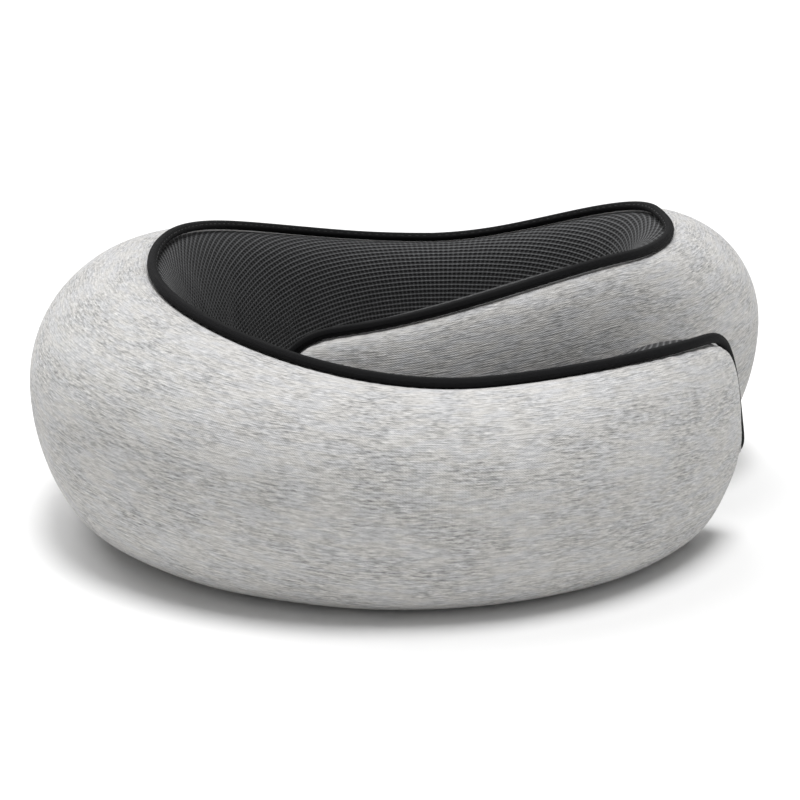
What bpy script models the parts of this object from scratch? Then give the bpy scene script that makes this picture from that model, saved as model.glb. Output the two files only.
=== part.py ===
"""Wrap-round travel neck pillow, at rest with its two arms lying one in front of the other.

Frame: metres, +Z up, floor at Z = 0, the origin under the middle of the pillow's box. The nape
is at +Y, the two arms close towards -Y, and the left arm (-X) is the one that ends up in front.

Every place on the pillow is given by two numbers. T is the distance along the ring's centre
line from the middle of the nape, negative round to the left arm's tip and positive round to the
right arm's. The other is the distance round the section there, from the seam on the crest.
"""
import math

import bmesh
import bpy
import numpy as np
from mathutils import Matrix, Vector

# ---------------------------------------------------------------- the ring in plan
# The centre line is a chain of tangent arcs, (radius, sweep in degrees), from the nape outwards.
NAPE_ARC = (0.123, 34.0)
LEFT_ARCS = [NAPE_ARC, (0.134, 58.0), (0.075, 34.0), (0.116, 120.0)]
RIGHT_ARCS = [NAPE_ARC, (0.073, 17.0), (0.050, 88.0), (0.164, 56.0)]

# ---------------------------------------------------------------- the section along each half
# Stations are (distance from the nape, value); values ease from one station to the next.
NAPE_HEIGHT, WING_HEIGHT, ARM_HEIGHT = 0.082, 0.108, 0.083
NAPE_OUT, WING_OUT, ARM_OUT = 0.020, 0.045, 0.026     # centre line to the outer skin
NAPE_IN, WING_IN, ARM_IN = 0.021, 0.021, 0.037        # centre line to the neck side
LEFT = {
    "height": [(0, NAPE_HEIGHT), (0.169, WING_HEIGHT), (0.387, ARM_HEIGHT)],
    "out": [(0, NAPE_OUT), (0.169, WING_OUT), (0.387, ARM_OUT)],
    "in": [(0, NAPE_IN), (0.169, WING_IN), (0.387, ARM_IN), (0.440, 0.034)],
    "crest": [(0, 0.003), (0.169, -0.005), (0.387, -0.011), (0.498, 0.001)],
}
RIGHT = {
    "height": [(0, NAPE_HEIGHT), (0.124, WING_HEIGHT), (0.190, 0.104), (0.335, ARM_HEIGHT)],
    "out": [(0, NAPE_OUT), (0.124, WING_OUT), (0.200, ARM_OUT)],
    "in": [(0, NAPE_IN), (0.124, WING_IN), (0.250, ARM_IN)],
    "crest": [(0, 0.003), (0.124, -0.005), (0.190, 0.010)],
}
BELLY = 0.57          # height of the widest line, as a share of the section's height
ROUNDNESS = 2.05      # exponent of each quarter of the section: 2 is an ellipse, more is squarer
KEEL = 0.0            # how far the resting strip lies outwards, as a share of the outer width
FLAT_HALF = 0.008     # half width of the strip that lies flat on the floor
TIP_LENGTH = 0.028    # rounded end of each arm
TIP_ROUNDNESS = 2.6
TIP_HEIGHT = 0.46     # where the very tip lies, as a share of the height
TIP_OUT = 0.30        # and as a share of the inner width, outwards

# ---------------------------------------------------------------- skins and seams
COVER_THICK = 0.0012      # heather jersey on the outer side
LINING_THICK = 0.0016     # spacer mesh on the neck side
FOAM_DEPTH = 0.0030       # the foam lies this far under the outer surface
BINDING_RADIUS = 0.0020   # rolled binding along both seams
BINDING_PROUD = 0.0007    # its centre stands this far outside the surface
SEAM_MARGIN = 0.0028      # each skin stops this far short of the seam
BINDING_TRIM = 0.0012     # the binding stops this far short of a flex line's cut

# ---------------------------------------------------------------- the flex lines at the wings
LEFT_FLEX_T, RIGHT_FLEX_T = -0.170, 0.120   # where each arm bends
FLEX_OUT = 0.022                            # the bending line lies this far outwards
LEFT_FLEX, RIGHT_FLEX = 50.0, 35.0          # how far each arm opens, degrees
OPENING_SPARE = 6.0                         # and the room left beyond that
CUT_GAP = 0.0008

# ---------------------------------------------------------------- zip across the back of the nape
ZIP_Z = 0.030             # height of the zip line at the back
ZIP_HALF_LENGTH = 0.060
TAPE_WIDTH, TAPE_THICK, TAPE_SLOT, TAPE_LIFT = 0.0075, 0.0006, 0.0012, 0.0009
COIL_WIDTH, COIL_THICK, COIL_LIFT = 0.0020, 0.0016, 0.0003
SLIDER_LENGTH, SLIDER_WIDTH, SLIDER_PLATE = 0.0085, 0.0076, 0.0010
SLIDER_WALL, SLIDER_CLEAR = 0.0008, 0.0004
LUG_WIDTH, LUG_GAP, LUG_BAR, LUG_SPAN = 0.0016, 0.0017, 0.0008, 0.0022
PULL_LENGTH, PULL_WIDTH, PULL_THICK = 0.020, 0.0052, 0.0009
PULL_EYE_WIDTH, PULL_EYE_LENGTH = 0.0026, 0.0030
STOP_SIZE = (0.0020, 0.0060, 0.0016)        # along, across and out from the tape
LABEL_T, LABEL_WIDTH, LABEL_HEIGHT, LABEL_THICK = -0.030, 0.022, 0.024, 0.0005
LABEL_FOOT, LABEL_LIFT = 0.004, 0.0012      # above the lower seam, and off the lining

# ---------------------------------------------------------------- mesh fineness
QUARTER = 16              # points on each quarter of a section's outline
COVER_COLUMNS = [0, 4, 8, 12, 16, 20, 24, 28, 33, 34, 38, 42]
LINING_COLUMNS = [42, 46, 51, 55, 59, 63, 67]
ARM_ROWS, NAPE_ROWS, ZIP_STEPS = 15, 22, 21
TIP_ANGLES = [0, 20, 38, 54, 68, 78]

for old in list(bpy.data.objects):
    bpy.data.objects.remove(old)


# ---------------------------------------------------------------- the pillow's surface
def along(stations, s):
    """Value at distance s from the nape, easing from station to station."""
    value = stations[0][1]
    for (s0, v0), (s1, v1) in zip(stations, stations[1:]):
        share = min(max((s - s0) / (s1 - s0), 0.0), 1.0)
        value += (v1 - v0) * share * share * (3 - 2 * share)
    return value


def arm_length(arcs):
    return sum(radius * math.radians(sweep) for radius, sweep in arcs)


LEFT_END, RIGHT_END = -arm_length(LEFT_ARCS), arm_length(RIGHT_ARCS)


def centre_line(t):
    """Point on the ring's centre line at T, and the direction that leads outwards there."""
    side, arcs = (-1, LEFT_ARCS) if t < 0 else (1, RIGHT_ARCS)
    s, x, y, turn = abs(t), 0.0, 0.0, 0.0
    for radius, sweep in arcs:
        step = min(s, radius * math.radians(sweep))
        half = step / (2 * radius)
        chord = 2 * radius * math.sin(half)
        x += chord * math.cos(turn + half)
        y -= chord * math.sin(turn + half)
        turn += 2 * half
        s -= step
    return np.array([side * x, y]), np.array([side * math.sin(turn), math.cos(turn)])


def outline(t):
    """The section at T as points (outwards, up): crest, outer side, underside, neck side, crest."""
    half, end = (LEFT, LEFT_END) if t < 0 else (RIGHT, RIGHT_END)
    s = abs(t)
    height, out, inn, crest = (along(half[key], s) for key in ("height", "out", "in", "crest"))
    belly, keel = BELLY * height, KEEL * out
    q = np.linspace(0, math.pi / 2, QUARTER + 1)
    rise, fall = np.sin(q) ** (2 / ROUNDNESS), np.cos(q) ** (2 / ROUNDNESS)
    foot_out, foot_in = keel + FLAT_HALF, keel - FLAT_HALF
    across = np.concatenate([
        crest + (out - crest) * rise,
        foot_out + (out - foot_out) * fall[1:],
        [keel + 0.65 * FLAT_HALF, keel - 0.65 * FLAT_HALF],
        foot_in - (inn + foot_in) * rise,
        crest - (inn + crest) * fall[1:]])
    up = np.concatenate([
        belly + (height - belly) * fall,
        belly - belly * rise[1:],
        [0.0, 0.0],
        belly - belly * fall,
        belly + (height - belly) * rise[1:]])
    into_tip = min(max((s - (abs(end) - TIP_LENGTH)) / TIP_LENGTH, 0.0), 1.0)
    size = (1 - into_tip ** TIP_ROUNDNESS) ** (1 / TIP_ROUNDNESS)
    tip = np.array([TIP_OUT * inn, TIP_HEIGHT * height])
    return tip + (np.stack([across, up], 1) - tip) * size


CREST, LOWER_SEAM, LAST = COVER_COLUMNS[0], COVER_COLUMNS[-1], LINING_COLUMNS[-1]


def skin_point(t, column, first, last, margin):
    """Point on the surface at T, for a panel that stops a margin short of both its seams."""
    points = outline(t)
    walk = np.concatenate([[0.0], np.cumsum(np.linalg.norm(np.diff(points, axis=0), axis=1))])
    length = walk[last] - walk[first]
    share = (walk[column] - walk[first]) / max(length, 1e-9)
    place = walk[first] + margin + (length - 2 * margin) * share
    out, up = (np.interp(place, walk, points[:, k]) for k in (0, 1))
    centre, outwards = centre_line(t)
    return np.array([*(centre + outwards * out), up])


def stop_short(flex_t, column, away):
    """T where a column ends at a flex line. Outside the line the end slopes back to let it open."""
    opening = math.radians((LEFT_FLEX if flex_t < 0 else RIGHT_FLEX) + OPENING_SPARE) / 2
    slope = max(0.0, outline(flex_t)[column][0] - FLEX_OUT) * math.tan(opening)
    return flex_t + away * (CUT_GAP / 2 + slope)


def rows(body, column):
    """Ring distances of a body's rows of points, from the left end to the right."""
    into_tip = [TIP_LENGTH * (1 - math.sin(math.radians(angle))) for angle in TIP_ANGLES]
    if body == "nape":
        first = stop_short(LEFT_FLEX_T, column, 1)
        last = stop_short(RIGHT_FLEX_T, column, -1)
        return list(np.linspace(first, last, NAPE_ROWS))
    if body == "left_arm":
        tip = [LEFT_END + step for step in reversed(into_tip)]
        return tip + list(np.linspace(tip[-1], stop_short(LEFT_FLEX_T, column, -1), ARM_ROWS))[1:]
    tip = [RIGHT_END - step for step in into_tip]
    return list(np.linspace(stop_short(RIGHT_FLEX_T, column, 1), tip[0], ARM_ROWS))[:-1] + tip


def skin(body, columns, margin=0.0, depth=0.0, closed=False):
    """Grid of points on a body's surface, sunk by depth along the surface's own normals."""
    first, last = (CREST, LAST) if closed else (columns[0], columns[-1])
    grid = np.array([[skin_point(t, column, first, last, margin) for t in rows(body, column)]
                     for column in columns]).transpose(1, 0, 2)
    lengthwise = np.gradient(grid, axis=0)
    if closed:
        across = np.roll(grid, -1, axis=1) - np.roll(grid, 1, axis=1)
    else:
        across = np.gradient(grid, axis=1)
    normal = np.cross(lengthwise, across)
    normal /= np.linalg.norm(normal, axis=2, keepdims=True)
    return grid - depth * normal - CENTRE


def tip_point(end, depth):
    """The very end of an arm, sunk by depth."""
    centre, outwards = centre_line(end)
    forward = math.copysign(1, end) * np.array([outwards[1], -outwards[0]])
    out, up = outline(end)[CREST]
    return np.array([*(centre + outwards * out - forward * depth), up]) - CENTRE


CENTRE = np.zeros(3)
outer_skin = np.concatenate([skin(body, COVER_COLUMNS).reshape(-1, 3)
                             for body in ("left_arm", "nape", "right_arm")])
CENTRE = (outer_skin.min(axis=0) + outer_skin.max(axis=0)) / 2 * [1, 1, 0]


# ---------------------------------------------------------------- making objects
def material(name, colour, roughness, metallic=0.0):
    made = bpy.data.materials.new(name)
    made.use_nodes = True
    shader = made.node_tree.nodes["Principled BSDF"]
    shader.inputs["Base Color"].default_value = (*colour, 1.0)
    shader.inputs["Roughness"].default_value = roughness
    shader.inputs["Metallic"].default_value = metallic
    made.diffuse_color = (*colour, 1.0)
    return made


def empty(name, location, parent=None):
    made = bpy.data.objects.new(name, None)
    made.empty_display_size = 0.02
    bpy.context.scene.collection.objects.link(made)
    made.location = location
    made.parent = parent
    return made


def add_object(name, data, look, parent):
    """Link an object whose data is in the parent's own space."""
    made = bpy.data.objects.new(name, data)
    bpy.context.scene.collection.objects.link(made)
    made.parent = parent
    if look:
        data.materials.append(look)
    return made


def add_solid(name, points, faces, look, parent=None, origin=(0, 0, 0)):
    """Closed mesh from points and faces, with its faces turned outwards and shaded smooth."""
    shape = bmesh.new()
    corners = [shape.verts.new(Vector(point) - Vector(origin)) for point in points]
    for face in faces:
        shape.faces.new([corners[index] for index in face])
    bmesh.ops.recalc_face_normals(shape, faces=shape.faces)
    mesh = bpy.data.meshes.new(name)
    shape.to_mesh(mesh)
    shape.free()
    mesh.shade_smooth()
    mesh.set_sharp_from_angle(angle=math.radians(40))
    return add_object(name, mesh, look, parent)


def add_loft(name, rings, look, parent=None, origin=(0, 0, 0), tip_first=None, tip_last=None):
    """Solid through rings of points, each end closed by a flat face or drawn to one point."""
    count, width = len(rings), len(rings[0])
    points = [point for ring in rings for point in ring]
    faces = [[i * width + j, i * width + (j + 1) % width,
              (i + 1) * width + (j + 1) % width, (i + 1) * width + j]
             for i in range(count - 1) for j in range(width)]
    for tip, ring in ((tip_first, 0), (tip_last, count - 1)):
        edge = list(range(ring * width, (ring + 1) * width))
        if tip is None:
            faces.append(edge)
        else:
            points.append(tip)
            faces += [[edge[j], edge[(j + 1) % width], len(points) - 1] for j in range(width)]
    return add_solid(name, points, faces, look, parent, origin)


def add_sheet(name, top, bottom, look, parent=None, origin=(0, 0, 0)):
    """Thick sheet between two grids of points of the same size."""
    high, wide = top.shape[:2]
    points = list(top.reshape(-1, 3)) + list(bottom.reshape(-1, 3))
    below = high * wide
    faces = []
    for i in range(high - 1):
        for j in range(wide - 1):
            corner = i * wide + j
            quad = [corner, corner + 1, corner + wide + 1, corner + wide]
            faces += [quad, [index + below for index in reversed(quad)]]
    rim = [j for j in range(wide)] + [i * wide + wide - 1 for i in range(1, high)]
    rim += [(high - 1) * wide + j for j in reversed(range(wide - 1))]
    rim += [i * wide for i in reversed(range(1, high - 1))]
    for a, b in zip(rim, rim[1:] + rim[:1]):
        faces.append([a, b, b + below, a + below])
    return add_solid(name, points, faces, look, parent, origin)


def trimmed(points, at_start, at_end):
    """The points of a run, as tuples, with its first and last point drawn back where told."""
    run = [Vector(point) for point in points]
    if at_start:
        run[0] += (run[1] - run[0]).normalized() * BINDING_TRIM
    if at_end:
        run[-1] += (run[-2] - run[-1]).normalized() * BINDING_TRIM
    return [tuple(point) for point in run]


def add_rod(name, points, radius, look, parent=None, origin=(0, 0, 0)):
    """Round cord through points, as a curve with a bevel and filled ends."""
    curve = bpy.data.curves.new(name, "CURVE")
    curve.dimensions = "3D"
    curve.bevel_depth = radius
    curve.bevel_resolution = 1
    curve.use_fill_caps = True
    spline = curve.splines.new("POLY")
    spline.points.add(len(points) - 1)
    for slot, point in zip(spline.points, points):
        slot.co = (*(Vector(point) - Vector(origin)), 1.0)
    return add_object(name, curve, look, parent)


JERSEY = material("heather_jersey", (0.50, 0.49, 0.47), 0.95)
MESH = material("black_spacer_mesh", (0.035, 0.035, 0.037), 0.85)
BINDING = material("black_binding", (0.008, 0.008, 0.009), 0.55)
FOAM = material("memory_foam", (0.78, 0.74, 0.62), 0.9)
TAPE = material("zip_tape", (0.06, 0.06, 0.065), 0.85)
COIL = material("zip_coil", (0.05, 0.05, 0.055), 0.4)
METAL = material("zinc_slider", (0.30, 0.30, 0.31), 0.35, 1.0)
RIBBON = material("label_ribbon", (0.85, 0.85, 0.84), 0.7)

# ---------------------------------------------------------------- the bodies and their flex lines
BODIES = {"nape": (None, None)}
for body, flex_t in (("left_arm", LEFT_FLEX_T), ("right_arm", RIGHT_FLEX_T)):
    centre, outwards = centre_line(flex_t)
    pivot = Vector((*(centre + outwards * FLEX_OUT), 0.0)) - Vector(CENTRE)
    BODIES[body] = (empty(body + "_flex", pivot), pivot)

for body, (parent, pivot) in BODIES.items():
    origin = pivot or (0, 0, 0)
    end = {"left_arm": LEFT_END, "right_arm": RIGHT_END}.get(body)

    # The foam core fills the section, a little under both skins.
    ring_columns = COVER_COLUMNS + LINING_COLUMNS[1:-1]
    core = skin(body, ring_columns, depth=FOAM_DEPTH, closed=True)
    tips = {}
    if end is not None:
        tips["tip_first" if body == "left_arm" else "tip_last"] = tip_point(end, FOAM_DEPTH)
    add_loft("foam_" + body, core, FOAM, parent, origin, **tips)

    # The jersey cover wraps the outer side and the underside, the mesh lines the neck side.
    for name, columns, thick, look in (("cover_", COVER_COLUMNS, COVER_THICK, JERSEY),
                                       ("lining_", LINING_COLUMNS, LINING_THICK, MESH)):
        add_sheet(name + body, skin(body, columns, SEAM_MARGIN),
                  skin(body, columns, SEAM_MARGIN, thick), look, parent, origin)

    # The binding follows both seams, and on an arm it runs round the tip in one length.
    seams = skin(body, ring_columns, depth=-BINDING_PROUD, closed=True)
    upper, lower = (trimmed(seams[:, ring_columns.index(seam)], end is None or end > 0,
                            end is None or end < 0) for seam in (CREST, LOWER_SEAM))
    if end is None:
        add_rod("binding_nape_top", upper, BINDING_RADIUS, BINDING)
        add_rod("binding_nape_bottom", lower, BINDING_RADIUS, BINDING)
    else:
        turn = [tuple(tip_point(end, -BINDING_PROUD))]
        run = upper[::-1] + turn + lower if body == "left_arm" else upper + turn + lower[::-1]
        add_rod("binding_" + body, run, BINDING_RADIUS, BINDING, parent, origin)

# ---------------------------------------------------------------- the zip's own curve
def back_of_nape(t):
    """Point on the outer side at the zip's height, and the skin's lean there."""
    points = outline(t)[QUARTER:2 * QUARTER + 1][::-1]
    out = np.interp(ZIP_Z, points[:, 1], points[:, 0])
    above = np.interp(ZIP_Z + 0.003, points[:, 1], points[:, 0])
    centre, outwards = centre_line(t)
    return centre + outwards * out - CENTRE[:2], math.atan2(above - out, 0.003)


(ax, ay), _ = back_of_nape(-ZIP_HALF_LENGTH)
(bx, by), ZIP_LEAN = back_of_nape(0.0)
(cx, cy), _ = back_of_nape(ZIP_HALF_LENGTH)
double_area = 2 * (ax * (by - cy) + bx * (cy - ay) + cx * (ay - by))
ZIP_CENTRE = np.array([
    ((ax**2 + ay**2) * (by - cy) + (bx**2 + by**2) * (cy - ay) + (cx**2 + cy**2) * (ay - by)),
    ((ax**2 + ay**2) * (cx - bx) + (bx**2 + by**2) * (ax - cx) + (cx**2 + cy**2) * (bx - ax)),
]) / double_area
ZIP_RADIUS = float(np.hypot(bx - ZIP_CENTRE[0], by - ZIP_CENTRE[1]))


def zip_point(distance, up, out):
    """Point at a distance along the zip (towards +X), up its face, and out from the skin."""
    angle = math.pi / 2 - distance / ZIP_RADIUS
    reach = ZIP_RADIUS + out * math.cos(ZIP_LEAN) + up * math.sin(ZIP_LEAN)
    height = ZIP_Z - out * math.sin(ZIP_LEAN) + up * math.cos(ZIP_LEAN)
    return (ZIP_CENTRE[0] + reach * math.cos(angle), ZIP_CENTRE[1] + reach * math.sin(angle),
            height)


def zip_strip(name, half_length, low, high, near, far, look):
    """Strip of rectangular section that follows the zip from -half_length to +half_length."""
    stops = np.linspace(-half_length, half_length, ZIP_STEPS)
    rings = [[zip_point(d, low, near), zip_point(d, high, near),
              zip_point(d, high, far), zip_point(d, low, far)] for d in stops]
    return add_loft(name, rings, look)


TAPE_TOP = TAPE_LIFT + TAPE_THICK
COIL_BASE = TAPE_TOP + COIL_LIFT
COIL_TOP = COIL_BASE + COIL_THICK
coil_half = ZIP_HALF_LENGTH - 2 * STOP_SIZE[0]
for name, side in (("upper", 1), ("lower", -1)):
    edges = sorted((side * TAPE_SLOT / 2, side * (TAPE_SLOT / 2 + TAPE_WIDTH)))
    zip_strip("zip_tape_" + name, ZIP_HALF_LENGTH, *edges, TAPE_LIFT, TAPE_TOP, TAPE)
    edges = sorted((side * TAPE_SLOT / 2, side * (TAPE_SLOT / 2 + COIL_WIDTH)))
    zip_strip("zip_coil_" + name, coil_half, *edges, COIL_BASE, COIL_TOP, COIL)


# ---------------------------------------------------------------- slider, pull and stops
def zip_frame(distance, out):
    """World matrix on the zip: X along it, Y up its face, Z out from the skin."""
    here = Vector(zip_point(distance, 0.0, out))
    up = (Vector(zip_point(distance, 0.01, out)) - here).normalized()
    outwards = (Vector(zip_point(distance, 0.0, out + 0.01)) - here).normalized()
    lengthwise = up.cross(outwards)
    return Matrix.Translation(here) @ Matrix((lengthwise, up, outwards)).transposed().to_4x4()


def add_extrusion(name, profile, depth, axis, look, frame, parent=None, origin=(0, 0, 0)):
    """Solid of an outline in the plane across an axis, half its depth to each side of it."""
    rings = []
    for place in (-depth / 2, depth / 2):
        ring = []
        for a, b in profile:
            local = {"along": (place, a, b), "up": (a, place, b), "out": (a, b, place)}[axis]
            ring.append(frame @ Vector(local))
        rings.append(ring)
    return add_loft(name, rings, look, parent, origin)


def box(a0, a1, b0, b1):
    return [(a0, b0), (a1, b0), (a1, b1), (a0, b1)]


def combine(target, operand, operation):
    """Boolean on an object, with its operand kept as a guide that isn't rendered."""
    operand.hide_render = True
    operand.display_type = "WIRE"
    modifier = target.modifiers.new(operand.name, "BOOLEAN")
    modifier.operation = operation
    modifier.object = operand


slider_rest = -(coil_half - SLIDER_LENGTH / 2 - 0.001)
slide_axis = Vector((*ZIP_CENTRE, ZIP_Z))
slide = empty("zip_slide", slide_axis)
plate_low = COIL_TOP + SLIDER_CLEAR
plate_top = plate_low + SLIDER_PLATE
wall_low = TAPE_TOP + SLIDER_CLEAR
frame = zip_frame(slider_rest, 0.0)
half, inner = SLIDER_WIDTH / 2, SLIDER_WIDTH / 2 - SLIDER_WALL
fin = 0.00025
section = [(-half, wall_low), (-inner, wall_low), (-inner, plate_low), (-fin, plate_low),
           (-fin, wall_low), (fin, wall_low), (fin, plate_low), (inner, plate_low),
           (inner, wall_low), (half, wall_low), (half, plate_top), (-half, plate_top)]
slider = add_extrusion("zip_slider", section, SLIDER_LENGTH, "along", METAL, frame,
                       slide, slide_axis)
leg = LUG_SPAN / 2 + LUG_BAR
lug_top = plate_top + LUG_GAP + LUG_BAR
lug_foot = plate_top - SLIDER_PLATE / 2
arch = [(-leg, lug_foot), (-leg + LUG_BAR, lug_foot), (-leg + LUG_BAR, plate_top + LUG_GAP),
        (leg - LUG_BAR, plate_top + LUG_GAP), (leg - LUG_BAR, lug_foot), (leg, lug_foot),
        (leg, lug_top - 0.0004), (leg - 0.0004, lug_top), (-leg + 0.0004, lug_top),
        (-leg, lug_top - 0.0004)]
lug = add_extrusion("slider_lug_guide", arch, LUG_WIDTH, "up", None, frame, slide, slide_axis)
combine(slider, lug, "UNION")

pull_frame = zip_frame(slider_rest, plate_top + LUG_GAP / 2)
pull_axis = pull_frame.translation
pull_pivot = empty("zip_pull_swing", pull_axis - slide_axis, slide)
corner = PULL_WIDTH / 2
rounded = [(PULL_LENGTH - corner + corner * math.sin(a), -corner * math.cos(a))
           for a in np.linspace(0, math.pi, 9)]
tab = [(-PULL_THICK / 2, -corner)] + rounded + [(-PULL_THICK / 2, corner)]
pull = add_extrusion("zip_pull", tab, PULL_THICK, "out", METAL, pull_frame,
                     pull_pivot, pull_axis)
eye = box(PULL_THICK / 2, PULL_THICK / 2 + PULL_EYE_LENGTH,
          -PULL_EYE_WIDTH / 2, PULL_EYE_WIDTH / 2)
cutter = add_extrusion("pull_eye_guide", eye, 3 * PULL_THICK, "out", None, pull_frame,
                       pull_pivot, pull_axis)
combine(pull, cutter, "DIFFERENCE")

length, width, height = STOP_SIZE
for name, side in (("zip_stop_start", -1), ("zip_stop_end", 1)):
    stop_frame = zip_frame(side * (ZIP_HALF_LENGTH - length), 0.0)
    add_extrusion(name, box(-width / 2, width / 2, COIL_BASE, COIL_BASE + height), length,
                  "along", METAL, stop_frame)

# ---------------------------------------------------------------- blank care label
def lining_point(t, up, lift):
    """Point over the neck side's lining, a given way up from the lower seam."""
    points = outline(t)[LOWER_SEAM:]
    walk = np.concatenate([[0.0], np.cumsum(np.linalg.norm(np.diff(points, axis=0), axis=1))])
    centre, outwards = centre_line(t)
    out, height = (np.interp(up, walk, points[:, k]) for k in (0, 1))
    slope = np.array([np.interp(up + 0.002, walk, points[:, k]) for k in (0, 1)]) - (out, height)
    away = np.array([-slope[1], slope[0]]) / np.linalg.norm(slope)
    place = centre + outwards * (out + away[0] * lift)
    return np.array([*place, height + away[1] * lift]) - CENTRE


across = np.linspace(LABEL_T - LABEL_WIDTH / 2, LABEL_T + LABEL_WIDTH / 2, 4)
upwards = np.linspace(0, LABEL_HEIGHT, 4) + LABEL_FOOT
front, back = (np.array([[lining_point(t, up, lift) for up in upwards] for t in across])
               for lift in (LABEL_LIFT + LABEL_THICK, LABEL_LIFT))
add_sheet("care_label", front, back, RIBBON)
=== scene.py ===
# %% [markdown]
# # A wrap-round travel neck pillow
#
# The pillow is a ring of memory foam that opens at the front. Heather jersey covers its outer
# side and underside, a black spacer mesh lines the side that touches the neck, and a black
# rolled binding hides the two seams where they meet. The two arms lie one in front of the other.
#
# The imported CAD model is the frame: it says where everything is and what moves. Every soft
# piece is made new here in that frame, and each small hard piece is a finer copy of its CAD node.

# %% Load the frame
import math

import bpy
import numpy as np
from mathutils import Matrix, Vector, noise


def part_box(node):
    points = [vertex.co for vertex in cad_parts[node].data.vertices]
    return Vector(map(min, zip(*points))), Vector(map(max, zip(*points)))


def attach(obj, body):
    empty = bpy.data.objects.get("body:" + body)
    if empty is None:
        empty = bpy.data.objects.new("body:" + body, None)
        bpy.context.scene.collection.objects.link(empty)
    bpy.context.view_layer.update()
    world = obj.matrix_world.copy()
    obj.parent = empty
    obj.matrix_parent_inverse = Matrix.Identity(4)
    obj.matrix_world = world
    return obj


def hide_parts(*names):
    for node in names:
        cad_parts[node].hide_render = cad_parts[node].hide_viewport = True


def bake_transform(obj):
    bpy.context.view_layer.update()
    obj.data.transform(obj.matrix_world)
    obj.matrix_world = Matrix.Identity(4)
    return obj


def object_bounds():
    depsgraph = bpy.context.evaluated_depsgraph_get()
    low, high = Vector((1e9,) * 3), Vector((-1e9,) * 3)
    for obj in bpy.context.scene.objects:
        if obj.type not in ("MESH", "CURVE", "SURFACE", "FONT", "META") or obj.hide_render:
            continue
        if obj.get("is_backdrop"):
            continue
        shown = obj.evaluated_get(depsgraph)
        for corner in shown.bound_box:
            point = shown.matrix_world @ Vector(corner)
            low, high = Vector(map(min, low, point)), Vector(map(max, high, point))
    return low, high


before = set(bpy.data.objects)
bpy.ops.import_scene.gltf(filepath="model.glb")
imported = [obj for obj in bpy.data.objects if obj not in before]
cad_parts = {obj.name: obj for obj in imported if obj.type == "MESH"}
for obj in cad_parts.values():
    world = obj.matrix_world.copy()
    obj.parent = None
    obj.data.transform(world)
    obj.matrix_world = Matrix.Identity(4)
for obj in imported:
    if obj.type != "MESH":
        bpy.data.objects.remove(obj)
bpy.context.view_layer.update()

# %% [markdown]
# ## Camera
#
# A long lens from 0.8 m, a little above the pillow and almost square to its front, so that the
# near arm hides the far one in part and the black lining shows behind them.

# %% Place the camera
LENS, SENSOR = 83.0, 36.0
CAMERA_DISTANCE, CAMERA_TURN, CAMERA_RISE = 0.80, -3.43, 18.26
LOOKED_AT = Vector((-0.0046, 0.0327, 0.0309))
turn, rise = math.radians(CAMERA_TURN), math.radians(CAMERA_RISE)
towards_camera = Vector((math.sin(turn) * math.cos(rise), -math.cos(turn) * math.cos(rise),
                         math.sin(rise)))
bpy.ops.object.camera_add(location=LOOKED_AT + CAMERA_DISTANCE * towards_camera)
camera = bpy.context.object
camera.name = "front_camera"
camera.rotation_euler = (-towards_camera).to_track_quat("-Z", "Y").to_euler()
camera.data.lens, camera.data.sensor_width = LENS, SENSOR
camera.data.clip_start = 0.05   # metres
bpy.context.scene.camera = camera
print("camera stands at", [round(value, 3) for value in camera.location])

# %% [markdown]
# ## Floor and light
#
# A plain, almost white floor runs far past the view. Light comes evenly from a white studio and
# from two broad lamps, one high up behind the pillow's left and one almost overhead, so the tops
# are bright and the sides fall off softly. A white floor also throws light back up, which would
# wash out the underside, so it bounces less light than it shows.

# %% Lay the floor
bpy.ops.object.select_all(action="DESELECT")
bpy.ops.mesh.primitive_plane_add(size=24.0, location=(0, 0, -0.0002))
floor = bpy.context.object
floor.name = "studio_floor"
SHOWN_WHITE, BOUNCED_WHITE = (0.93, 0.93, 0.93, 1.0), (0.86, 0.86, 0.85, 1.0)
paper = bpy.data.materials.new("white_paper")
paper.use_nodes = True
paper_nodes, paper_links = paper.node_tree.nodes, paper.node_tree.links
ray = paper_nodes.new("ShaderNodeLightPath")
tone = paper_nodes.new("ShaderNodeMix")
tone.data_type = "RGBA"
tone.inputs[6].default_value, tone.inputs[7].default_value = BOUNCED_WHITE, SHOWN_WHITE
paper_links.new(ray.outputs["Is Camera Ray"], tone.inputs["Factor"])
paper_links.new(tone.outputs[2], paper_nodes["Principled BSDF"].inputs["Base Color"])
paper_nodes["Principled BSDF"].inputs["Roughness"].default_value = 0.95
paper_nodes["Principled BSDF"].inputs["Specular IOR Level"].default_value = 0.1
floor.data.materials.append(paper)
floor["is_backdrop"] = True

# %% Hang the lamps and light the studio
LAMPS = [                       # name, direction it comes from, width in degrees, power
    ("broad_lamp_behind", Vector((-0.45, 0.70, 1.10)), 48.0, 1.50),
    ("broad_lamp_above", Vector((0.10, -0.06, 1.30)), 24.0, 2.25),
]
STUDIO_WHITE = 0.27
for lamp_name, comes_from, width, power in LAMPS:
    bpy.ops.object.light_add(type="SUN", location=comes_from)
    lamp = bpy.context.object
    lamp.name = lamp_name
    lamp.rotation_euler = (-comes_from).to_track_quat("-Z", "Y").to_euler()
    lamp.data.energy, lamp.data.angle = power, math.radians(width)
world = bpy.data.worlds.new("white_studio")
world.use_nodes = True
world_nodes, world_links = world.node_tree.nodes, world.node_tree.links
backdrop = world_nodes["Background"].inputs
backdrop["Color"].default_value = (1, 1, 1, 1)
seen = world_nodes.new("ShaderNodeLightPath")
strength = world_nodes.new("ShaderNodeMapRange")        # the studio itself is seen white
strength.inputs["To Min"].default_value = STUDIO_WHITE
strength.inputs["To Max"].default_value = 1.0
world_links.new(seen.outputs["Is Camera Ray"], strength.inputs["Value"])
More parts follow.
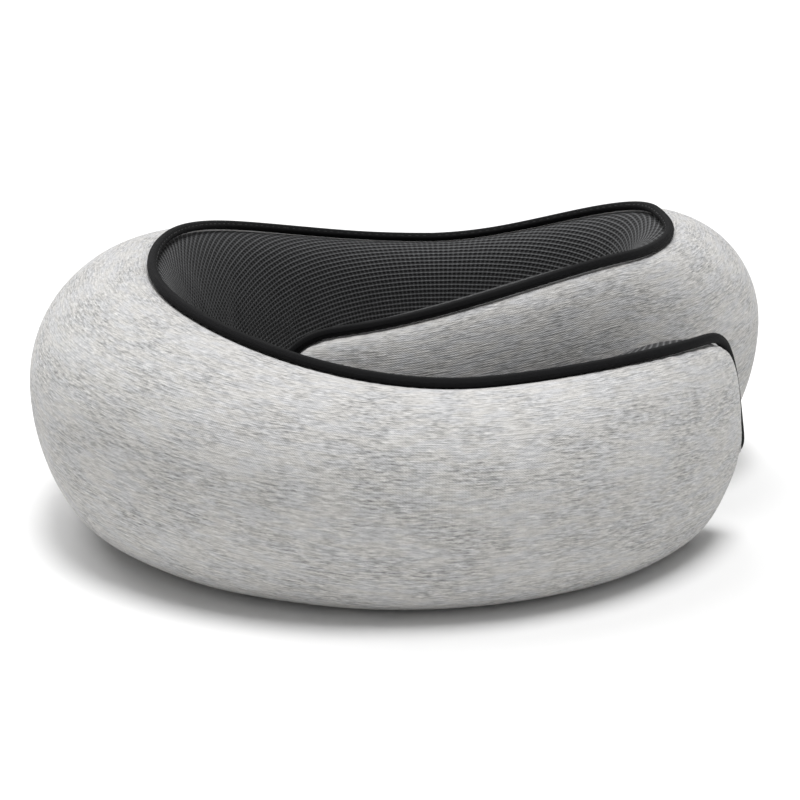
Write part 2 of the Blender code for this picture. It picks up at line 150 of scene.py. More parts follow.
world_links.new(strength.outputs["Result"], backdrop["Strength"])
bpy.context.scene.world = world
bpy.context.scene.view_settings.view_transform = "Standard"
print(len(LAMPS), "broad lamps and a white studio")

# %% [markdown]
# ## The ring as numbers
#
# A place on the pillow is its distance T along the ring's centre line from the middle of the
# nape, negative round to the left arm's tip, and its place round the section there. The centre
# line is the CAD model's, so the soft pieces drop into place. The sections are close to the
# CAD's: the crest line and the arms' rounded ends are moved a little here, so that the binding
# runs where it should on the finished pillow.

# %% The centre line and how the section changes along it
NAPE_ARC = (0.123, 34.0)        # radius in metres and sweep in degrees
LEFT_ARCS = [NAPE_ARC, (0.134, 58.0), (0.075, 34.0), (0.116, 120.0)]
RIGHT_ARCS = [NAPE_ARC, (0.073, 17.0), (0.050, 88.0), (0.164, 56.0)]
NAPE_HEIGHT, WING_HEIGHT = 0.082, 0.108
NAPE_OUT, ARM_OUT = 0.020, 0.026            # centre line to the outer skin
NAPE_IN, WING_IN, ARM_IN = 0.021, 0.021, 0.037      # centre line to the neck side
NAPE_CREST = 0.003                          # how far outwards the crest seam lies
LEFT_WING, LEFT_ARM, RIGHT_WING, RIGHT_BEND = 0.169, 0.387, 0.124, 0.190    # distances from nape
LEFT = {                                    # pairs of distance from the nape and value
    "height": [(0, NAPE_HEIGHT), (LEFT_WING, WING_HEIGHT), (LEFT_ARM, 0.0792), (0.470, 0.0850)],
    "out": [(0, NAPE_OUT), (LEFT_WING, 0.045), (LEFT_ARM, ARM_OUT)],
    "in": [(0, NAPE_IN), (LEFT_WING, WING_IN), (LEFT_ARM, ARM_IN), (0.440, 0.034)],
    "crest": [(0, NAPE_CREST), (LEFT_WING, -0.007), (LEFT_ARM, -0.011), (0.498, 0.018)],
}
RIGHT = {
    "height": [(0, NAPE_HEIGHT), (RIGHT_WING, WING_HEIGHT), (RIGHT_BEND, 0.104),
               (0.335, 0.0805)],
    "out": [(0, NAPE_OUT), (RIGHT_WING, 0.0435), (0.200, ARM_OUT)],
    "in": [(0, NAPE_IN), (RIGHT_WING, WING_IN), (0.250, ARM_IN)],
    "crest": [(0, NAPE_CREST), (RIGHT_WING, -0.003), (RIGHT_BEND, 0.012)],
}
# height of the widest place as a share, squareness of the section, half width of the flat base
BELLY, ROUNDNESS, FLAT_HALF = 0.57, 2.05, 0.008
TIP_ROUNDNESS = 2.6             # squareness of an arm's end: 2 is an ellipse
# rounded end of each arm: length, and where its seams meet as shares of inner width and height
LEFT_TIP, RIGHT_TIP = (0.020, 0.73, 0.42), (0.026, 0.36, 0.46)
RING_CENTRE = np.array([-0.015501, -0.116252, 0.0])
LEFT_END = -sum(radius * math.radians(sweep) for radius, sweep in LEFT_ARCS)
RIGHT_END = sum(radius * math.radians(sweep) for radius, sweep in RIGHT_ARCS)
print("arms reach", round(-LEFT_END * 1000), "and", round(RIGHT_END * 1000), "mm from the nape")


# %% Point, direction and section at T
def along(stations, s):
    """Value at distance s from the nape, easing from station to station."""
    value = stations[0][1]
    for (s0, v0), (s1, v1) in zip(stations, stations[1:]):
        share = min(max((s - s0) / (s1 - s0), 0.0), 1.0)
        value += (v1 - v0) * share * share * (3 - 2 * share)
    return value


def centre_line(t):
    """Point on the centre line at T, and the direction that leads outwards there."""
    side, arcs = (-1, LEFT_ARCS) if t < 0 else (1, RIGHT_ARCS)
    s, x, y, heading = abs(t), 0.0, 0.0, 0.0
    for radius, sweep in arcs:
        step = min(s, radius * math.radians(sweep))
        half = step / (2 * radius)
        chord = 2 * radius * math.sin(half)
        x += chord * math.cos(heading + half)
        y -= chord * math.sin(heading + half)
        heading += 2 * half
        s -= step
    return np.array([side * x, y]), np.array([side * math.sin(heading), math.cos(heading)])


QUARTER = 32                    # points on each quarter of an outline
LOWER_SEAM = 2 * QUARTER + 3 + 7 * QUARTER // 16


def outline(t):
    """The section at T as points (outwards, up): crest, outer side, underside, neck side."""
    half, end = (LEFT, LEFT_END) if t < 0 else (RIGHT, RIGHT_END)
    s = abs(t)
    height, out, inn, crest = (along(half[key], s) for key in ("height", "out", "in", "crest"))
    belly = BELLY * height
    q = np.linspace(0, math.pi / 2, QUARTER + 1)
    rise, fall = np.sin(q) ** (2 / ROUNDNESS), np.cos(q) ** (2 / ROUNDNESS)
    across = np.concatenate([
        crest + (out - crest) * rise,
        FLAT_HALF + (out - FLAT_HALF) * fall[1:],
        [0.65 * FLAT_HALF, -0.65 * FLAT_HALF],
        -FLAT_HALF - (inn - FLAT_HALF) * rise,
        crest - (inn + crest) * fall[1:]])
    up = np.concatenate([
        belly + (height - belly) * fall,
        belly - belly * rise[1:],
        [0.0, 0.0],
        belly - belly * fall,
        belly + (height - belly) * rise[1:]])
    tip_length, tip_out, tip_up = LEFT_TIP if t < 0 else RIGHT_TIP
    into_tip = min(max((s - (abs(end) - tip_length)) / tip_length, 0.0), 1.0)
    size = (1 - into_tip ** TIP_ROUNDNESS) ** (1 / TIP_ROUNDNESS)
    tip = np.array([tip_out * inn, tip_up * height])
    return tip + (np.stack([across, up], 1) - tip) * size


# %% [markdown]
# ## The cage
#
# All soft pieces come from one quad grid wrapped round the ring: rows run along it and columns
# run round the section, from the crest seam over the outer side and underside to the lower
# seam, and up the neck side back to the crest. Even squares of about 6 mm suit both the cloth
# solver and Subdivision Surface. At an arm's tip the rows close up until they meet in a point.

# %% Rows and columns of the cage
ROW_STEP = 0.006
COVER_COLUMNS, LINING_COLUMNS = 26, 16
ALL_COLUMNS = COVER_COLUMNS + LINING_COLUMNS
TIP_ANGLES = [90, 83, 75, 66, 56, 45, 33, 18, 0]
short_of_end = [1 - math.sin(math.radians(angle)) for angle in TIP_ANGLES]
left_tip = [LEFT_END + LEFT_TIP[0] * share for share in short_of_end]
right_tip = [RIGHT_END - RIGHT_TIP[0] * share for share in short_of_end]
left_rows = np.linspace(left_tip[-1], 0.0, round(-left_tip[-1] / ROW_STEP) + 1)
right_rows = np.linspace(0.0, right_tip[-1], round(right_tip[-1] / ROW_STEP) + 1)
ROWS = np.array(left_tip + list(left_rows[1:]) + list(right_rows[1:]) + right_tip[::-1][1:])
NAPE_ROW = int(np.argmin(abs(ROWS)))


def walked(points):
    """Distance walked along a run of points."""
    return np.concatenate([[0.0], np.cumsum(np.linalg.norm(np.diff(points, axis=0), axis=1))])


def section_points(t, columns, lining_columns):
    """Evenly spaced points round the section at T, and each one's distance along it."""
    points = outline(t)
    walk = walked(points)
    places = np.concatenate([
        np.linspace(0, walk[LOWER_SEAM], columns + 1),
        np.linspace(walk[LOWER_SEAM], walk[-1], lining_columns + 1)[1:]])
    centre, outwards = centre_line(t)
    out, up = (np.interp(places, walk, points[:, k]) for k in (0, 1))
    flat = centre[None, :] + outwards[None, :] * out[:, None]
    return np.concatenate([flat, up[:, None]], 1) - RING_CENTRE, places


made = [section_points(t, COVER_COLUMNS, LINING_COLUMNS) for t in ROWS]
CAGE = np.array([points for points, _ in made])
ROUND = np.array([places for _, places in made])       # distance round the section
print("cage of", CAGE.shape[0], "rows and", ALL_COLUMNS, "columns")


# %% Directions on the cage
def outward_normals(grid, rows):
    """Unit normals of a closed grid of sections, which point straight ahead at a tip."""
    lengthwise = np.gradient(grid, axis=0)
    ring = grid[:, :-1]
    across = np.roll(ring, -1, axis=1) - np.roll(ring, 1, axis=1)
    normal = np.cross(lengthwise[:, :-1], across)
    length = np.linalg.norm(normal, axis=2, keepdims=True)
    normal = normal / np.maximum(length, 1e-12)
    for row, t in ((0, rows[0]), (-1, rows[-1])):
        _, outwards = centre_line(t)
        forward = math.copysign(1, t) * np.array([outwards[1], -outwards[0], 0.0])
        normal[row] = forward
    return np.concatenate([normal, normal[:, :1]], axis=1)


CAGE_NORMALS = outward_normals(CAGE, ROWS)
cover_length = ROUND[:, COVER_COLUMNS]
full_length = ROUND[:, -1]
FROM_SEAM = np.where(
    ROUND <= cover_length[:, None] + 1e-9,
    np.minimum(ROUND, cover_length[:, None] - ROUND),
    np.minimum(ROUND - cover_length[:, None], full_length[:, None] - ROUND))
FROM_SEAM = np.maximum(FROM_SEAM, 0.0)
print("the jersey is up to", round(cover_length.max() * 1000), "mm wide and the lining",
      round((full_length - cover_length).max() * 1000), "mm")

# %% [markdown]
# ## Flat cuts
#
# A pattern follows cloth, so each skin has a UV map in metres as if it lay flat. On the jersey
# U is the length along the belly and V the way round from it. The lining is one straight-grained
# piece that bends round the neck: its ridges run level behind the neck and meet the crest seam
# at a slant on the arms. So its centre line is laid out as an arc before the ridges are drawn.

# %% Lay both skins flat
BELLY_COLUMN = round(COVER_COLUMNS * 0.36)
NECK_COLUMN = COVER_COLUMNS + LINING_COLUMNS // 2
GRAIN_RADIUS, GRAIN_TURN = 0.20, math.radians(40.0)


def run_along(column):
    """Distance along a column of the cage, nought at the nape."""
    walk = walked(CAGE[:, column])
    return walk - walk[NAPE_ROW]


belly_run, neck_run = run_along(BELLY_COLUMN), run_along(NECK_COLUMN)
COVER_FLAT = np.stack([
    np.repeat(belly_run[:, None], ALL_COLUMNS + 1, 1),
    ROUND - ROUND[:, [BELLY_COLUMN]]], 2)
slant = -np.clip(neck_run / GRAIN_RADIUS, -GRAIN_TURN, GRAIN_TURN)
steps = np.diff(neck_run)
middle = (slant[1:] + slant[:-1]) / 2
grain_x = np.concatenate([[0.0], np.cumsum(steps * np.cos(middle))])
grain_y = -np.concatenate([[0.0], np.cumsum(steps * np.sin(middle))])
grain_x, grain_y = grain_x - grain_x[NAPE_ROW], grain_y - grain_y[NAPE_ROW]
way = ROUND - ROUND[:, [NECK_COLUMN]]
LINING_FLAT = np.stack([
    grain_x[:, None] + way * np.sin(slant)[:, None],
    grain_y[:, None] + way * np.cos(slant)[:, None]], 2)
print("the grain turns up to", round(math.degrees(GRAIN_TURN)), "degrees on the arms")

# %% [markdown]
# ## From a grid to a mesh
#
# A grid primitive has its points in rows already. It is added with the right number of
# subdivisions, and each point is then moved to its place on the cage. The first and last
# column, and all points of a tip's row, land on each other and are merged. Small repeated
# things, such as stitches, are copies of one model, laid out and joined.


# %% Wrap a grid primitive
def wrapped_grid(name, points, flat=None):
    """Object of a grid primitive whose point (i, j) lies at points[i, j]."""
    rows, columns = points.shape[0] - 1, points.shape[1] - 1
    bpy.ops.mesh.primitive_grid_add(x_subdivisions=rows, y_subdivisions=columns, size=2.0)
    piece = bpy.context.object
    piece.name = piece.data.name = name
    mesh = piece.data
    start = np.empty(len(mesh.vertices) * 3)
    mesh.vertices.foreach_get("co", start)
    start = start.reshape(-1, 3)
    i = np.rint((start[:, 0] + 1) / 2 * rows).astype(int)
    j = np.rint((start[:, 1] + 1) / 2 * columns).astype(int)
    mesh.vertices.foreach_set("co", points[i, j].ravel())
    corner = np.empty(len(mesh.loops), int)
    mesh.loops.foreach_get("vertex_index", corner)
    mesh.uv_layers.active.name = "flat_cut"
    if flat is not None:
        mesh.uv_layers.active.data.foreach_set("uv", flat[i, j][corner].ravel())
    mesh.update()
    return piece, i, j, corner


def add_attribute(piece, name, values):
    """Store a number on each point, which subdivision then spreads evenly."""
    layer = piece.data.attributes.new(name, "FLOAT", "POINT")
    layer.data.foreach_set("value", np.asarray(values, np.float32))


# %% Tools for editing a piece
MERGED_WITHIN = 1e-6            # metres


def only(*pieces):
    """Select these pieces and no others, and make the first one active."""
    bpy.ops.object.select_all(action="DESELECT")
    for piece in pieces:
        piece.select_set(True)
    bpy.context.view_layer.objects.active = pieces[0]


def merge_doubles(piece):
    """Merge points that lie on each other."""
    only(piece)
    bpy.ops.object.mode_set(mode="EDIT")
    bpy.ops.mesh.select_all(action="SELECT")
    bpy.ops.mesh.remove_doubles(threshold=MERGED_WITHIN)
    bpy.ops.object.mode_set(mode="OBJECT")


def face_outwards(piece):
    """Merge doubles and turn every face outwards."""
    merge_doubles(piece)
    bpy.ops.object.mode_set(mode="EDIT")
    bpy.ops.mesh.select_all(action="SELECT")
    bpy.ops.mesh.normals_make_consistent(inside=False)
    bpy.ops.object.mode_set(mode="OBJECT")


def seal(piece, inset=0.0):
    """Merge doubles, fill the open ends, and turn every face outwards."""
    merge_doubles(piece)
    bpy.ops.object.mode_set(mode="EDIT")
    bpy.ops.mesh.select_all(action="DESELECT")
    bpy.ops.mesh.select_mode(type="EDGE")
    bpy.ops.mesh.select_non_manifold()
    bpy.ops.mesh.edge_face_add()
    if inset:
        bpy.ops.mesh.inset(thickness=inset)
    bpy.ops.mesh.select_all(action="SELECT")
    bpy.ops.mesh.normals_make_consistent(inside=False)
    bpy.ops.mesh.select_mode(type="VERT")
    bpy.ops.object.mode_set(mode="OBJECT")


def thicken(piece, thickness):
    """Give a skin its thickness, inwards, and smooth all but its edges."""
    bpy.ops.object.modifier_add(type="SOLIDIFY")
    piece.modifiers["Solidify"].thickness = thickness
    piece.modifiers["Solidify"].offset = -1.0
    bpy.ops.object.modifier_apply(modifier="Solidify")
    bpy.ops.object.shade_smooth_by_angle(angle=math.radians(50))


def without_materials(piece):
    """Take all material slots off a piece."""
    while piece.data.materials:
        piece.data.materials.pop()


def standing(at, *axes):
    """Matrix that stands at a point on three given axes."""
    placed = Matrix(axes).transposed().to_4x4()
    placed.translation = at
    return placed


def laid_out(model, places, name):
    """One piece, joined from copies of a model with a mesh each. The model goes."""
    copies = []
    for placed in places:
        copy = bpy.data.objects.new(name, model.data.copy())
        copy.data.transform(placed)
        bpy.context.scene.collection.objects.link(copy)
        copies.append(copy)
    bpy.data.objects.remove(model)
    only(*copies)
    bpy.ops.object.join()
    copies[0].name = copies[0].data.name = name
    print(name, "has", len(places), "copies")
    return copies[0]


GRAIN_SEGMENTS, GRAIN_RINGS = 6, 4


def thread_grain(length, thick):
    """A stitch: a low sphere stretched to a grain of rice."""
    around = math.pi / 2 + np.linspace(0, 2 * math.pi, GRAIN_SEGMENTS + 1)[None, :]
    down = np.linspace(0, math.pi, GRAIN_RINGS + 1)[:, None]
    sphere = np.stack(np.broadcast_arrays(
        np.sin(down) * np.cos(around), np.sin(down) * np.sin(around), np.cos(down)), 2)
    grain, _, _, _ = wrapped_grid("grain", sphere * [length / 2, thick / 2, thick / 2])
    face_outwards(grain)
    bpy.ops.object.shade_smooth()
    return grain


# %% Read a piece's points
def points_of(piece):
    """A piece's points as an array."""
    values = np.empty(len(piece.data.vertices) * 3)
    piece.data.vertices.foreach_get("co", values)
    return values.reshape(-1, 3)


def number_on(piece, name):
    """A stored number of each point as an array."""
    values = np.empty(len(piece.data.vertices), np.float32)
    piece.data.attributes[name].data.foreach_get("value", values)
    return values.astype(float)


def ease(x):
    """Smooth step from 0 to 1."""
    x = np.clip(x, 0.0, 1.0)
    return x * x * (3 - 2 * x)


# %% [markdown]
# ## The upholstered ring
#
# The fabric is sewn a little tight over the foam, and the foam pushes it out between the seams.
# So the cage starts up to 0.6 mm under its finished skin, except along the seams, which stay
# where they are. Cloth with some pressure and no gravity then swells it, and no point moves further
# than 1.6 mm. The jersey and lining swell together as one closed shape, so they still meet.

# %% Make the ring
SUNK, SUNK_OVER = 0.0006, 0.018         # depth, and how far from a seam it is reached
sunk = CAGE - CAGE_NORMALS * (SUNK * ease(FROM_SEAM / SUNK_OVER))[:, :, None]
ring, row_of, column_of, corner_point = wrapped_grid("upholstered_ring", sunk)
add_attribute(ring, "from_seam", FROM_SEAM[row_of, column_of])
add_attribute(ring, "ring_distance", ROWS[row_of])
add_attribute(ring, "round_share", column_of / ALL_COLUMNS)

# %% Give each panel its material slot and flat cut, and hold the seams
HELD_BESIDE_SEAM = 0.0015
PANELS = ["jersey_left", "jersey_right", "lining_left", "lining_right"]
for panel in PANELS:
    ring.data.materials.append(bpy.data.materials.new(panel))
flat_of_corner = np.zeros((len(ring.data.loops), 2))
for face in ring.data.polygons:
    corners = list(face.loop_indices)
    rows, columns = row_of[corner_point[corners]], column_of[corner_point[corners]]
    lining = columns.min() >= COVER_COLUMNS
    face.material_index = 2 * int(lining) + int(rows.min() >= NAPE_ROW)
    cut = LINING_FLAT if lining else COVER_FLAT
    flat_of_corner[corners] = cut[rows, columns]
ring.data.uv_layers.active.data.foreach_set("uv", flat_of_corner.ravel())
merge_doubles(ring)
held = ring.vertex_groups.new(name="held_seams")
seam_near = number_on(ring, "from_seam")
for index in np.flatnonzero(seam_near < HELD_BESIDE_SEAM):
    held.add([int(index)], 1.0, "REPLACE")
print("ring has", len(ring.data.vertices), "points,", len(ring.data.polygons), "faces")

# %% Swell it with Cloth
PRESSURE, CLOTH_FRAMES, MOST_SWELL, MOST_AT_ZIP = 25.0, 20, 0.0016, 0.0007
ZIP_REACH, ZIP_BAND, BACK_FROM_Y, ZIP_LINE_HEIGHT = 0.078, 0.016, 0.08, 0.030
before = points_of(ring)
bpy.ops.object.modifier_add(type="CLOTH")
cloth = ring.modifiers["Cloth"]
cloth.settings.quality = 6
cloth.settings.mass = 0.25
cloth.settings.tension_stiffness = cloth.settings.compression_stiffness = 12.0
cloth.settings.shear_stiffness = 5.0
cloth.settings.bending_stiffness = 0.4
cloth.settings.use_pressure = True
cloth.settings.uniform_pressure_force = PRESSURE
cloth.settings.effector_weights.gravity = 0.0
cloth.settings.vertex_group_mass = "held_seams"
cloth.collision_settings.use_collision = False
cloth.point_cache.frame_start, cloth.point_cache.frame_end = 1, CLOTH_FRAMES
for step in range(1, CLOTH_FRAMES + 1):
    bpy.context.scene.frame_set(step)
bpy.ops.object.modifier_apply(modifier="Cloth")
bpy.context.scene.frame_set(1)
swollen = points_of(ring)
move = swollen - before
distance = np.linalg.norm(move, axis=1)
near_zip = ((abs(number_on(ring, "ring_distance")) < ZIP_REACH)
            & (before[:, 1] > BACK_FROM_Y)
            & (abs(before[:, 2] - ZIP_LINE_HEIGHT) < ZIP_BAND))
most = np.where(near_zip, MOST_AT_ZIP, MOST_SWELL)
move *= (np.minimum(distance, most) / np.maximum(distance, 1e-9))[:, None]
ring.data.vertices.foreach_set("co", (before + move).ravel())
ring.data.update()
print("swelled by", round(float(distance.mean()) * 1000, 2), "mm on average, at most",
      round(float(distance.max()) * 1000, 2), "mm before the cap")

# %% [markdown]
# ## Fine shape
#
# Two levels of Subdivision Surface bring the squares to 1.5 mm. That is fine enough to tuck both
# fabrics down under the binding, to gather the jersey lightly where it is eased round the tight
# curves, and to leave the foam's slight unevenness in the skin.

# %% Subdivide
only(ring)
bpy.ops.object.modifier_add(type="SUBSURF")
ring.modifiers["Subdivision"].levels = ring.modifiers["Subdivision"].render_levels = 2
bpy.ops.object.modifier_apply(modifier="Subdivision")
print("subdivided to", len(ring.data.polygons), "faces")

# %% Tuck, gather and dent
TUCK_DEPTH, TUCK_WIDTH = 0.0014, 0.0030
GATHER_HEIGHT, GATHER_PITCH, GATHER_WIDTH = 0.00030, 0.0062, 0.0080
GATHER_AT, WANDER_SCALE, WANDER = 0.005, 60.0, 5.0     # place beside the seam, unevenness
DENT_HEIGHT, DENT_SIZE, LOWEST = 0.00045, 0.045, 0.00005
# where the jersey is eased: distance along the ring, half length, strength
GATHERED = [(-0.462, 0.035, 1.0), (-0.20, 0.05, 0.45), (0.165, 0.05, 0.7), (0.31, 0.03, 0.6),
            (-0.33, 0.05, 0.25)]
points, seam_near = points_of(ring), number_on(ring, "from_seam")
ring_at, share_round = number_on(ring, "ring_distance"), number_on(ring, "round_share")
normals = np.array([point.normal[:] for point in ring.data.vertices])
tuck = TUCK_DEPTH * np.exp(-(seam_near / TUCK_WIDTH) ** 2)
on_cover = share_round < COVER_COLUMNS / ALL_COLUMNS
eased = sum(strength * np.exp(-((ring_at - place) / reach) ** 2)
            for place, reach, strength in GATHERED)
beside = np.exp(-((seam_near - GATHER_AT) / GATHER_WIDTH) ** 2) * ease(seam_near / 0.004)
wander = np.array([noise.noise(Vector(point) * WANDER_SCALE) for point in points])
folds = np.sin(2 * math.pi * ring_at / GATHER_PITCH + WANDER * wander)
gathers = GATHER_HEIGHT * eased * beside * folds * on_cover
dents = DENT_HEIGHT * np.array([noise.noise(Vector(point) / DENT_SIZE) for point in points])
dents *= ease(seam_near / 0.02)
points += normals * (gathers + dents - tuck)[:, None]
points[:, 2] = np.maximum(points[:, 2], LOWEST)
ring.data.vertices.foreach_set("co", points.ravel())
ring.data.update()
print("tucked", round(float(tuck.max()) * 1000, 2), "mm at the seams")

# %% Part the ring into its four panels
JERSEY_THICK, LINING_THICK = 0.0012, 0.0016
bpy.ops.object.mode_set(mode="EDIT")
bpy.ops.mesh.select_all(action="SELECT")
bpy.ops.mesh.separate(type="MATERIAL")
bpy.ops.object.mode_set(mode="OBJECT")
panels = {}
for piece in list(bpy.context.selected_objects):
    panel = piece.data.materials[piece.data.polygons[0].material_index].name
    piece.name = piece.data.name = panel
    panels[panel] = piece
for panel in PANELS:
    piece = panels[panel]
    only(piece)
    without_materials(piece)
    thicken(piece, JERSEY_THICK if "jersey" in panel else LINING_THICK)
    print(panel, len(piece.data.polygons) * 2, "triangles")
jersey_left, jersey_right, lining_left, lining_right = (panels[panel] for panel in PANELS)

# %% [markdown]
# ## Foam core
#
# Inside both skins is one moulded piece of memory foam. It can't be seen, but the part would be
# hollow without it. It follows the same cage 4.2 mm down and its tips end flat, a little inside
# the fabric's. Each half is closed with a face at the middle of the nape.

# %% Mould the two halves of the foam
FOAM_DEPTH, CUT_FACE_INSET = 0.0042, 0.002
BLUNT_ROWS = 4                  # rows that are drawn together into each flat tip
foam_cage = CAGE - CAGE_NORMALS * FOAM_DEPTH
for tip, inwards in ((0, 1), (len(ROWS) - 1, -1)):
    rim = foam_cage[tip + inwards * BLUNT_ROWS]
    rim_centre = rim[:-1].mean(axis=0)
    for row in range(BLUNT_ROWS):
        foam_cage[tip + inwards * row] = rim_centre + (rim - rim_centre) * row / BLUNT_ROWS
foam_pieces = {}
for side, first, last in (("left", 0, NAPE_ROW + 1), ("right", NAPE_ROW, len(ROWS))):
    piece, _, _, _ = wrapped_grid("foam_core_" + side, foam_cage[first:last])
    seal(piece, CUT_FACE_INSET)
    bpy.ops.object.shade_smooth_by_angle(angle=math.radians(50))
    foam_pieces[side] = piece
    print(piece.name, len(piece.data.polygons), "faces")
foam_left, foam_right = foam_pieces["left"], foam_pieces["right"]

# %% [markdown]
# ## Binding
#
# The binding is a strip of black knit rolled over the raw edges of both fabrics and stitched
# through. It runs along the crest seam, round the arm's tip and back along the lower seam. Its
# section is a slightly flattened round with two shallow grooves, where the stitches pull it in.

# %% Follow a seam round the tip
BINDING_RADIUS, BINDING_PROUD = 0.0020, 0.0007
BINDING_STEP, BINDING_SIDES = 0.0018, 20
SEAM_ROWS, SEAM_COLUMNS, NECK_COLUMNS, SMOOTHINGS = 420, 24, 14, 6
GROOVE_DEPTH, GROOVE_ANGLE, GROOVE_SPREAD = 0.00028, math.radians(58), math.radians(11)


def seam_frames(end):
    """Evenly spaced points, ways along and outward normals of the seam round one half."""
    fine = np.linspace(0, 1, SEAM_ROWS) ** 0.8
    rows = end * (1 - (1 - fine) ** 1.6)        # closer together towards the tip
    grid = np.array([section_points(t, SEAM_COLUMNS, NECK_COLUMNS)[0] for t in rows])
    normals = outward_normals(grid, rows) * math.copysign(1, end)
    _, outwards = centre_line(end)
    normals[-1] = math.copysign(1, end) * np.array([outwards[1], -outwards[0], 0.0])
    normals[0] = normals[1]
    upper, lower = grid[:, 0], grid[:, SEAM_COLUMNS]
    path = np.concatenate([upper, lower[::-1][1:]])
    out = np.concatenate([normals[:, 0], normals[::-1, SEAM_COLUMNS][1:]])
    walk = walked(path)
    keep = np.concatenate([[True], np.diff(walk) > 1e-7])
    walk, path, out = walk[keep], path[keep], out[keep]
    places = np.linspace(0, walk[-1], round(walk[-1] / BINDING_STEP) + 1)
    path = np.stack([np.interp(places, walk, path[:, k]) for k in range(3)], 1)
    out = np.stack([np.interp(places, walk, out[:, k]) for k in range(3)], 1)
    for _ in range(SMOOTHINGS):
        out[1:-1] = (out[:-2] + 2 * out[1:-1] + out[2:]) / 4
        path[1:-1] = (path[:-2] + 2 * path[1:-1] + path[2:]) / 4
    ahead = np.gradient(path, axis=0)
    ahead /= np.linalg.norm(ahead, axis=1, keepdims=True)
    out -= ahead * (out * ahead).sum(1, keepdims=True)
    out /= np.linalg.norm(out, axis=1, keepdims=True)
    return path + out * BINDING_PROUD, ahead, out, places


def binding_reach(angle):
    """Radius of the rolled binding's section at an angle from straight outwards."""
    groove = sum(np.exp(-((angle - side * GROOVE_ANGLE) / GROOVE_SPREAD) ** 2)
                 for side in (-1, 1))
    return BINDING_RADIUS * (1 + 0.04 * np.sin(angle) ** 2) - GROOVE_DEPTH * groove


# %% Roll the binding of each half
binding_pieces, seam_lines = {}, {}
angles = np.linspace(-math.pi, math.pi, BINDING_SIDES + 1)
for side, end in (("left", LEFT_END), ("right", RIGHT_END)):
    path, ahead, out, places = seam_frames(end)
    sideways = np.cross(out, ahead)
    seam_lines[side] = (path, ahead, out, sideways, places)
    reach = binding_reach(angles)
    lumps = 1 + 0.018 * np.sin(places / 0.011 + 2 * np.sin(places / 0.037))
    tube = (path[:, None, :]
            + out[:, None, :] * (np.cos(angles) * reach)[None, :, None] * lumps[:, None, None]
            + sideways[:, None, :] * (np.sin(angles) * reach)[None, :, None])
    flat = np.stack(np.broadcast_arrays(places[:, None], (angles * BINDING_RADIUS)[None, :]), 2)
    piece, _, _, _ = wrapped_grid("binding_" + side, tube, flat)
    seal(piece)
    bpy.ops.object.shade_smooth_by_angle(angle=math.radians(60))
    binding_pieces[side] = piece
    print(piece.name, "is", round(float(places[-1]), 3), "m long")
binding_left, binding_right = binding_pieces["left"], binding_pieces["right"]

# %% [markdown]
# ## Stitches in the binding
#
# A row of small lockstitches shows in the groove on the jersey side.

# %% Sew the stitches
STITCH_PITCH, STITCH_LENGTH, STITCH_THICK = 0.0034, 0.0025, 0.00042
stitch_pieces = {}
for side, (path, ahead, out, sideways, places) in seam_lines.items():
    hand = 1 if side == "left" else -1
    standings = []
    for place in np.arange(STITCH_PITCH, places[-1] - STITCH_PITCH / 2, STITCH_PITCH):
        spot = int(np.argmin(abs(places - place)))
        up = out[spot] * math.cos(GROOVE_ANGLE) + hand * sideways[spot] * math.sin(GROOVE_ANGLE)
        at = path[spot] + up * (BINDING_RADIUS - GROOVE_DEPTH)
        standings.append(standing(at, ahead[spot], np.cross(up, ahead[spot]), up))
    stitch_pieces[side] = laid_out(thread_grain(STITCH_LENGTH, STITCH_THICK), standings,
                                   "binding_stitches_" + side)
stitches_left, stitches_right = stitch_pieces["left"], stitch_pieces["right"]

# %% [markdown]
# ## Zip
#
# The cover comes off through a zip across the back of the nape. The tapes keep their CAD shape.
# The coils are monofilament wound in loops, so one loop is modelled and copied along each tape.
# The zip's curve is an arc, leaning a little with the skin.

# %% The zip's arc
ZIP_CENTRE, ZIP_RADIUS = np.array([0.02297, -0.13842]), 0.27403
ZIP_LEAN, ZIP_HALF = math.radians(4.99), 0.060


def zip_point(distance, up, out):
    """Point at a distance along the zip (towards +X), up its face, and out from the skin."""
    angle = math.pi / 2 - distance / ZIP_RADIUS
    reach = ZIP_RADIUS + out * math.cos(ZIP_LEAN) + up * math.sin(ZIP_LEAN)
    height = ZIP_LINE_HEIGHT - out * math.sin(ZIP_LEAN) + up * math.cos(ZIP_LEAN)
    return np.array([ZIP_CENTRE[0] + reach * math.cos(angle),
                     ZIP_CENTRE[1] + reach * math.sin(angle), height])


def zip_matrix(distance, up, out):
    """Matrix on the zip: X along it, Y up its face, Z out from the skin."""
    here = zip_point(distance, up, out)
    above = Vector(zip_point(distance, up + 0.01, out) - here).normalized()
    outwards = Vector(zip_point(distance, up, out + 0.01) - here).normalized()
    return standing(here, above.cross(outwards), above, outwards)


tape_low, tape_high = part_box("zip_tape_upper")
print("zip tape spans", round((tape_high[0] - tape_low[0]) * 1000), "mm")

# %% Wind the coils
TOOTH_PITCH, TOOTH_WIRE = 0.00125, 0.00029
COIL_BASE, COIL_HEIGHT, COIL_REACH = 0.0018, 0.00155, 0.0021
STOP_ROOM = 0.0044
coil_half = ZIP_HALF - STOP_ROOM
